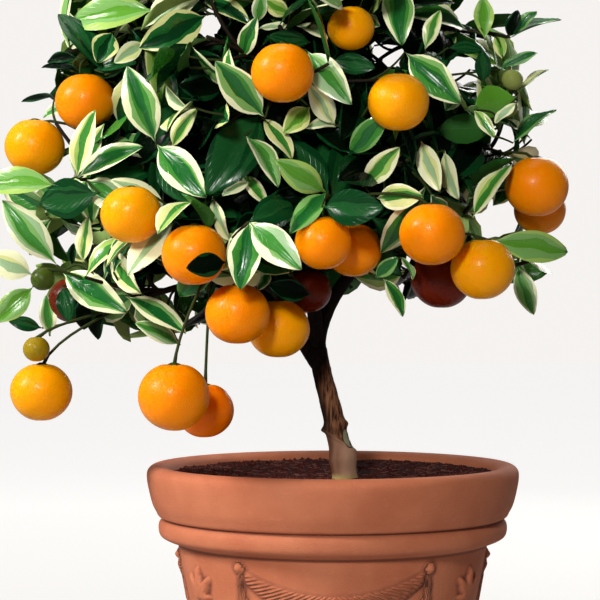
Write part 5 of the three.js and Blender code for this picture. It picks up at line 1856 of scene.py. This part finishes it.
leaf_chance = np.random.default_rng(SEED + 7)
leaf_sets = []
for rows, kinds, shares, strips in (
    (front_rows, np.array([KIND_NUMBER[kind] for kind in front_kinds]), FRONT_RINGS, FRONT_STRIPS),
    (filled_rows, deal_kinds(filled_rows, leaf_chance), FILL_RINGS, FILL_STRIPS),
):
    points, uv = leaf_meshes(rows, shares, leaf_chance, fine=len(strips) == len(FRONT_STRIPS))
    leaf_sets.append((points, uv, deal_tones(kinds, shares, strips, leaf_chance), shares, strips))
    print("leaves", len(points), "of", (len(shares) + 1) * len(strips), "faces")

# %% The leaf blade group
blade_tree, ins, outs = new_group("Leaf blade", {"Veins": 9.0}, ["Height", "Wax"])
blade_place = place(blade_tree, "UVMap", uv_map="blade").outputs[0]
across_and_along = place(blade_tree, "SeparateXYZ", {0: blade_place}).outputs
from_rib = maths(blade_tree, "ABSOLUTE", maths(blade_tree, "MULTIPLY_ADD", across_and_along["X"], 2.0, -1.0))
slanted = maths(blade_tree, "MULTIPLY_ADD", from_rib, -0.38, across_and_along["Y"])
counted = maths(blade_tree, "MULTIPLY", slanted, ins["Veins"])
ripple = maths(blade_tree, "SINE", maths(blade_tree, "MULTIPLY", counted, 2 * math.pi))
vein = between(blade_tree, ripple, 0.75, 1.0)
rib = between(blade_tree, from_rib, 0.1, 0.0)
sunk = maths(blade_tree, "MAXIMUM", rib, maths(blade_tree, "MULTIPLY", vein, 0.45))
wax_place = place(blade_tree, "TexCoord").outputs["Object"]
wax = place(blade_tree, "TexNoise", {"Vector": wax_place, "Scale": 160.0, "Detail": 2.0}).outputs["Fac"]
height = maths(blade_tree, "SUBTRACT", maths(blade_tree, "MULTIPLY", wax, 0.6), sunk)
blade_tree.links.new(height, outs["Height"])
blade_tree.links.new(wax, outs["Wax"])
print("leaf blade group:", len(blade_tree.nodes), "nodes")

# %% Leaf materials
LEAF_SPECULAR = 0.42
DARK_SPECULARS = {"black": 0.04, "deep": 0.14, "dusk": 0.2, "back_green": 0.08}
FACE_ROUGHNESS, BACK_ROUGHNESS = (0.16, 0.3), (0.5, 0.62)
VEIN_DEPTH, VEIN_STRENGTH = 0.0003, 0.6


def leaf_material(name, colour):
    """A waxy leaf tone: a plain colour, roughness that varies with the wax, and veins as a bump."""
    specular = DARK_SPECULARS.get(name, LEAF_SPECULAR)
    material, tree, shader = new_material("leaf_" + name, screen(*colour), 0.3, specular)
    blade = add_group(tree, blade_tree)
    add_roughness(tree, shader, blade["Wax"], *(BACK_ROUGHNESS if "back" in name else FACE_ROUGHNESS))
    add_bump(tree, shader, blade["Height"], VEIN_DEPTH, VEIN_STRENGTH)
    return material


leaf_materials = [leaf_material(name, colour) for name, colour in TONES.items()]
print("leaf materials:", len(leaf_materials))

# %% Leaf pieces
for name, (points, uv, tones, shares, strips) in zip(("front_leaves_1", "filling_leaves_1"), leaf_sets):
    many, stride = points.shape[:2]
    rings, sides = len(shares), len(strips)
    is_edge = np.zeros(stride, bool)
    is_edge[: rings * sides].reshape(-1, sides)[:, [0, sides - 2]] = True
    quad_tones, cap_tones = np.split(tones, [(rings - 1) * sides], axis=1)
    make_piece(
        name, points.reshape(-1, 3), closed_tubes(rings, sides, many), leaf_materials,
        np.append(quad_tones, cap_tones), np.tile(is_edge, many), uv.reshape(-1, 2))

# %% [markdown]
# ## Twigs, stalks and caps
# Twigs are thin bent tubes, brown where old and green where young. Fruit hang from green stalks that end
# in a star of sepals. Hundreds of curves would be slow to join, so all tubes are worked out at once.

# %% Twig surfaces
TWIG_RINGS = 8
TWIG_SIDES = 6
TWIG_CHECKS = np.linspace(0, 1, 101)
JOINT_REACH = 1.0
SHORTEST_SHARE = 0.08
STALK_THIN, STALK_FLARE, STALK_FLARE_SHARE = 0.8, 0.5, 0.1
twig_starts = np.stack([way.at(0.0) for way, _, _ in twigs])


def used_share(way, kind):
    """How far along a twig its last leaf stands or the last twig leaves it, so that no end stays bare."""
    if kind in ("stem", "stalk", "petiole"):
        return 1.0
    away = norm(way.at(TWIG_CHECKS)[:, None] - twig_starts).min(1)
    return max(TWIG_CHECKS[away < JOINT_REACH].max(), leaf_shares.get(way, 0))


shares = np.linspace(0, 1, TWIG_RINGS)
drawn = [(way, kind, used_share(way, kind)) for way, _, kind in twigs]
drawn = [(way, kind, used) for way, kind, used in drawn if used > SHORTEST_SHARE]
print("twigs drawn:", len(drawn), "of", len(twigs))
twig_lines = np.stack([way.at(shares * used) for way, _, used in drawn])
twig_radii = np.stack([np.asarray(way.radius(shares * used)) + 0 * shares for way, _, used in drawn])
twig_kinds = np.array([kind for _, kind, _ in drawn])
twig_radii[twig_kinds == "stalk"] *= STALK_THIN + STALK_FLARE * hump(shares, 1, STALK_FLARE_SHARE)
twig_points, twig_faces = tubes(twig_lines, twig_radii, TWIG_SIDES)
is_young = np.isin(twig_kinds, ["side", "petiole", "stalk"])
twig_tones = [np.repeat(is_young, len(part) // len(drawn)) for part in twig_faces]

# %% Sepals on each fruit: rings by radius, height and whether they have lobes
STAR_SIDES = 20
STAR_RINGS = ((4.1, -0.9, True), (4.3, 0.3, True), (2.0, 1.6, False))
STAR_POLES = ((0, 0, -0.9), (0, 0, 1.8))
STAR_LOBES, STAR_LOBE = 5, 0.3
STAR_SHARE, STAR_SINK = 0.93, 1.2
STAR_FRUIT = 26
STAR_SIZES = (0.6, 1.1)
star_turn = turns(STAR_SIDES)


def star_ring(radius, height, lobed):
    """One ring of the star. With lobes its radius is r (1 + 0.3 cos 5a)."""
    radii = radius * (1 + STAR_LOBE * lobed * np.cos(STAR_LOBES * star_turn))
    return np.stack([radii * np.cos(star_turn), radii * np.sin(star_turn), height + 0 * star_turn], -1)


fruit_count = len(fruit_radii)
star = np.concatenate([*[star_ring(*ring) for ring in STAR_RINGS], STAR_POLES])
star_tops = fruit_middles + UPWARDS * (fruit_radii * STAR_SHARE - STAR_SINK)[:, None]
star_sizes = np.clip(fruit_radii / STAR_FRUIT, *STAR_SIZES)[:, None, None]
star_points = (star_tops[:, None] + star * star_sizes).reshape(-1, 3)
star_faces = closed_tubes(len(STAR_RINGS), STAR_SIDES, fruit_count, len(twig_points))
print("stars of sepals:", fruit_count)

# %% Twig finish
TWIG_ROUGHNESS = (0.45, 0.85)


def twig_material(name, colour):
    """A plain twig tone with fine grain in its roughness and bump."""
    material, tree, shader = new_material(name, screen(*colour), 0.7, WOOD_SPECULAR)
    _, grain = add_grain(tree, 0.006, 0.0012, 0.4)
    add_roughness(tree, shader, grain, *TWIG_ROUGHNESS)
    add_bump(tree, shader, grain, 0.0003)
    return material


twig_materials = [twig_material("twig_brown", (30, 22, 15)), twig_material("twig_green", (46, 58, 22))]
twig_tones = np.concatenate([*twig_tones, np.ones(len(star_faces[0]) + len(star_faces[1]))])
twig_points = np.concatenate([twig_points, star_points])
make_piece("twigs", twig_points, [*twig_faces, *star_faces], twig_materials, twig_tones)

# %% [markdown]
# ## Fruit
# A mandarin is a ball pressed a little flat, dimpled where the stalk goes in and with a small scar below.
# Its peel is glossy and pitted with pores. All fruit come from one grid over turn and tilt, pushed by soft
# random heights.

# %% Fruit surfaces
FRUIT_RINGS = 27
FRUIT_COLUMNS = 40
FRUIT_FLATNESS = 0.95
DIMPLE, DIMPLE_TILT = 0.075, 0.3
SCAR, SCAR_TILT = 0.02, 0.2
RIBS, RIB_HEIGHT, RIB_TILT = 9, 0.008, 0.8
UNEVEN, UNEVEN_SIZE, UNEVEN_SPREAD = 0.022, 26, 3
BOTTOM_SHARE, TOP_SHARE = 0.975, 0.92
tilt = np.linspace(math.pi, 0, FRUIT_RINGS + 2)[1:-1, None]
turn = turns(FRUIT_COLUMNS)
ball = np.stack([np.sin(tilt) * np.cos(turn), np.sin(tilt) * np.sin(turn), np.cos(tilt) + 0 * turn], -1)
dimple = 1 - DIMPLE * hump(tilt, 0, DIMPLE_TILT) - SCAR * hump(tilt, math.pi, SCAR_TILT)
ribs = 1 + RIB_HEIGHT * np.cos(RIBS * turn) * hump(tilt, 0, RIB_TILT)
skins = (ball * (dimple * ribs)[..., None])[None] * fruit_radii[:, None, None, None]
uneven = cloud(skins + fruit_middles[:, None, None] * UNEVEN_SPREAD, UNEVEN_SIZE, seed=31, octaves=2)
skins = skins * (1 + UNEVEN * uneven)[..., None] * [1, 1, FRUIT_FLATNESS]
skins = skins + fruit_middles[:, None, None]
bottoms = fruit_middles - UPWARDS * (fruit_radii * FRUIT_FLATNESS * BOTTOM_SHARE)[:, None]
tops = fruit_middles + UPWARDS * (fruit_radii * FRUIT_FLATNESS * TOP_SHARE)[:, None]
fruit_points = np.concatenate([skins.reshape(fruit_count, -1, 3), bottoms[:, None], tops[:, None]], 1)
fruit_faces = closed_tubes(FRUIT_RINGS, FRUIT_COLUMNS, fruit_count)
print("fruit:", fruit_count, "of", fruit_points.shape[1], "points")

# %% The peel group
pore_tree, ins, outs = new_group("Peel pores", {"Pore Size": 0.0013}, ["Height", "Gloss"])
peel_place = place(pore_tree, "TexCoord").outputs["Object"]
pore_scale = maths(pore_tree, "DIVIDE", 1.0, ins["Pore Size"])
pores = place(pore_tree, "TexVoronoi", {"Vector": peel_place, "Scale": pore_scale}).outputs["Distance"]
bloom = place(pore_tree, "TexNoise", {"Vector": peel_place, "Scale": 90.0, "Detail": 3.0}).outputs["Fac"]
pore_tree.links.new(between(pore_tree, pores, 0.1, 0.45), outs["Height"])
pore_tree.links.new(bloom, outs["Gloss"])
print("peel group:", len(pore_tree.nodes), "nodes")

# %% Peel in seven plain tones, one of them painted shade
PEEL_SPECULAR = 0.14
PEEL_GLOW = 0.7
PEEL_GLOW_REACH = (0.009, 0.004, 0.0006)
PEEL_ROUGHNESS = (0.2, 0.3)
PORE_DEPTH, PORE_STRENGTH = 0.00025, 0.5
RIPE_TONES = 3
FRONT_PEELS = """
gold orange orange gold gold orange orange gold orange orange orange gold shaded
orange orange gold gold orange deep shaded shaded green olive pale pale""".split()
# The shaded tone is painted shade: a dark red-brown for the fruit that hang in the crown's deep shade
PEELS = {
    "gold": (255, 164, 2), "orange": (255, 142, 2), "deep": (252, 122, 2), "shaded": (104, 30, 12),
    "olive": (150, 128, 20), "green": (66, 84, 26), "pale": (140, 152, 80),
}


def peel_material(name, colour):
    """A glossy peel tone that light sinks into, with pores as a bump."""
    material, tree, shader = new_material("peel_" + name, screen(*colour), 0.3, PEEL_SPECULAR)
    shader.inputs["Subsurface Weight"].default_value = PEEL_GLOW
    shader.inputs["Subsurface Radius"].default_value = PEEL_GLOW_REACH
    shader.inputs["Subsurface Scale"].default_value = 1.0
    pored = add_group(tree, pore_tree)
    add_roughness(tree, shader, pored["Gloss"], *PEEL_ROUGHNESS)
    add_bump(tree, shader, pored["Height"], PORE_DEPTH, PORE_STRENGTH)
    return material


peel_materials = [peel_material(name, colour) for name, colour in PEELS.items()]
peel_tones = [list(PEELS).index(name) for name in FRONT_PEELS]
peel_tones += [number % RIPE_TONES for number in range(len(back_middles))]
fruit_tones = np.concatenate([np.repeat(peel_tones, len(part) // fruit_count) for part in fruit_faces])
mandarins = make_piece(
    "mandarins", fruit_points.reshape(-1, 3), fruit_faces, peel_materials, fruit_tones)
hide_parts(*["foliage_" + mass for mass in MASSES])
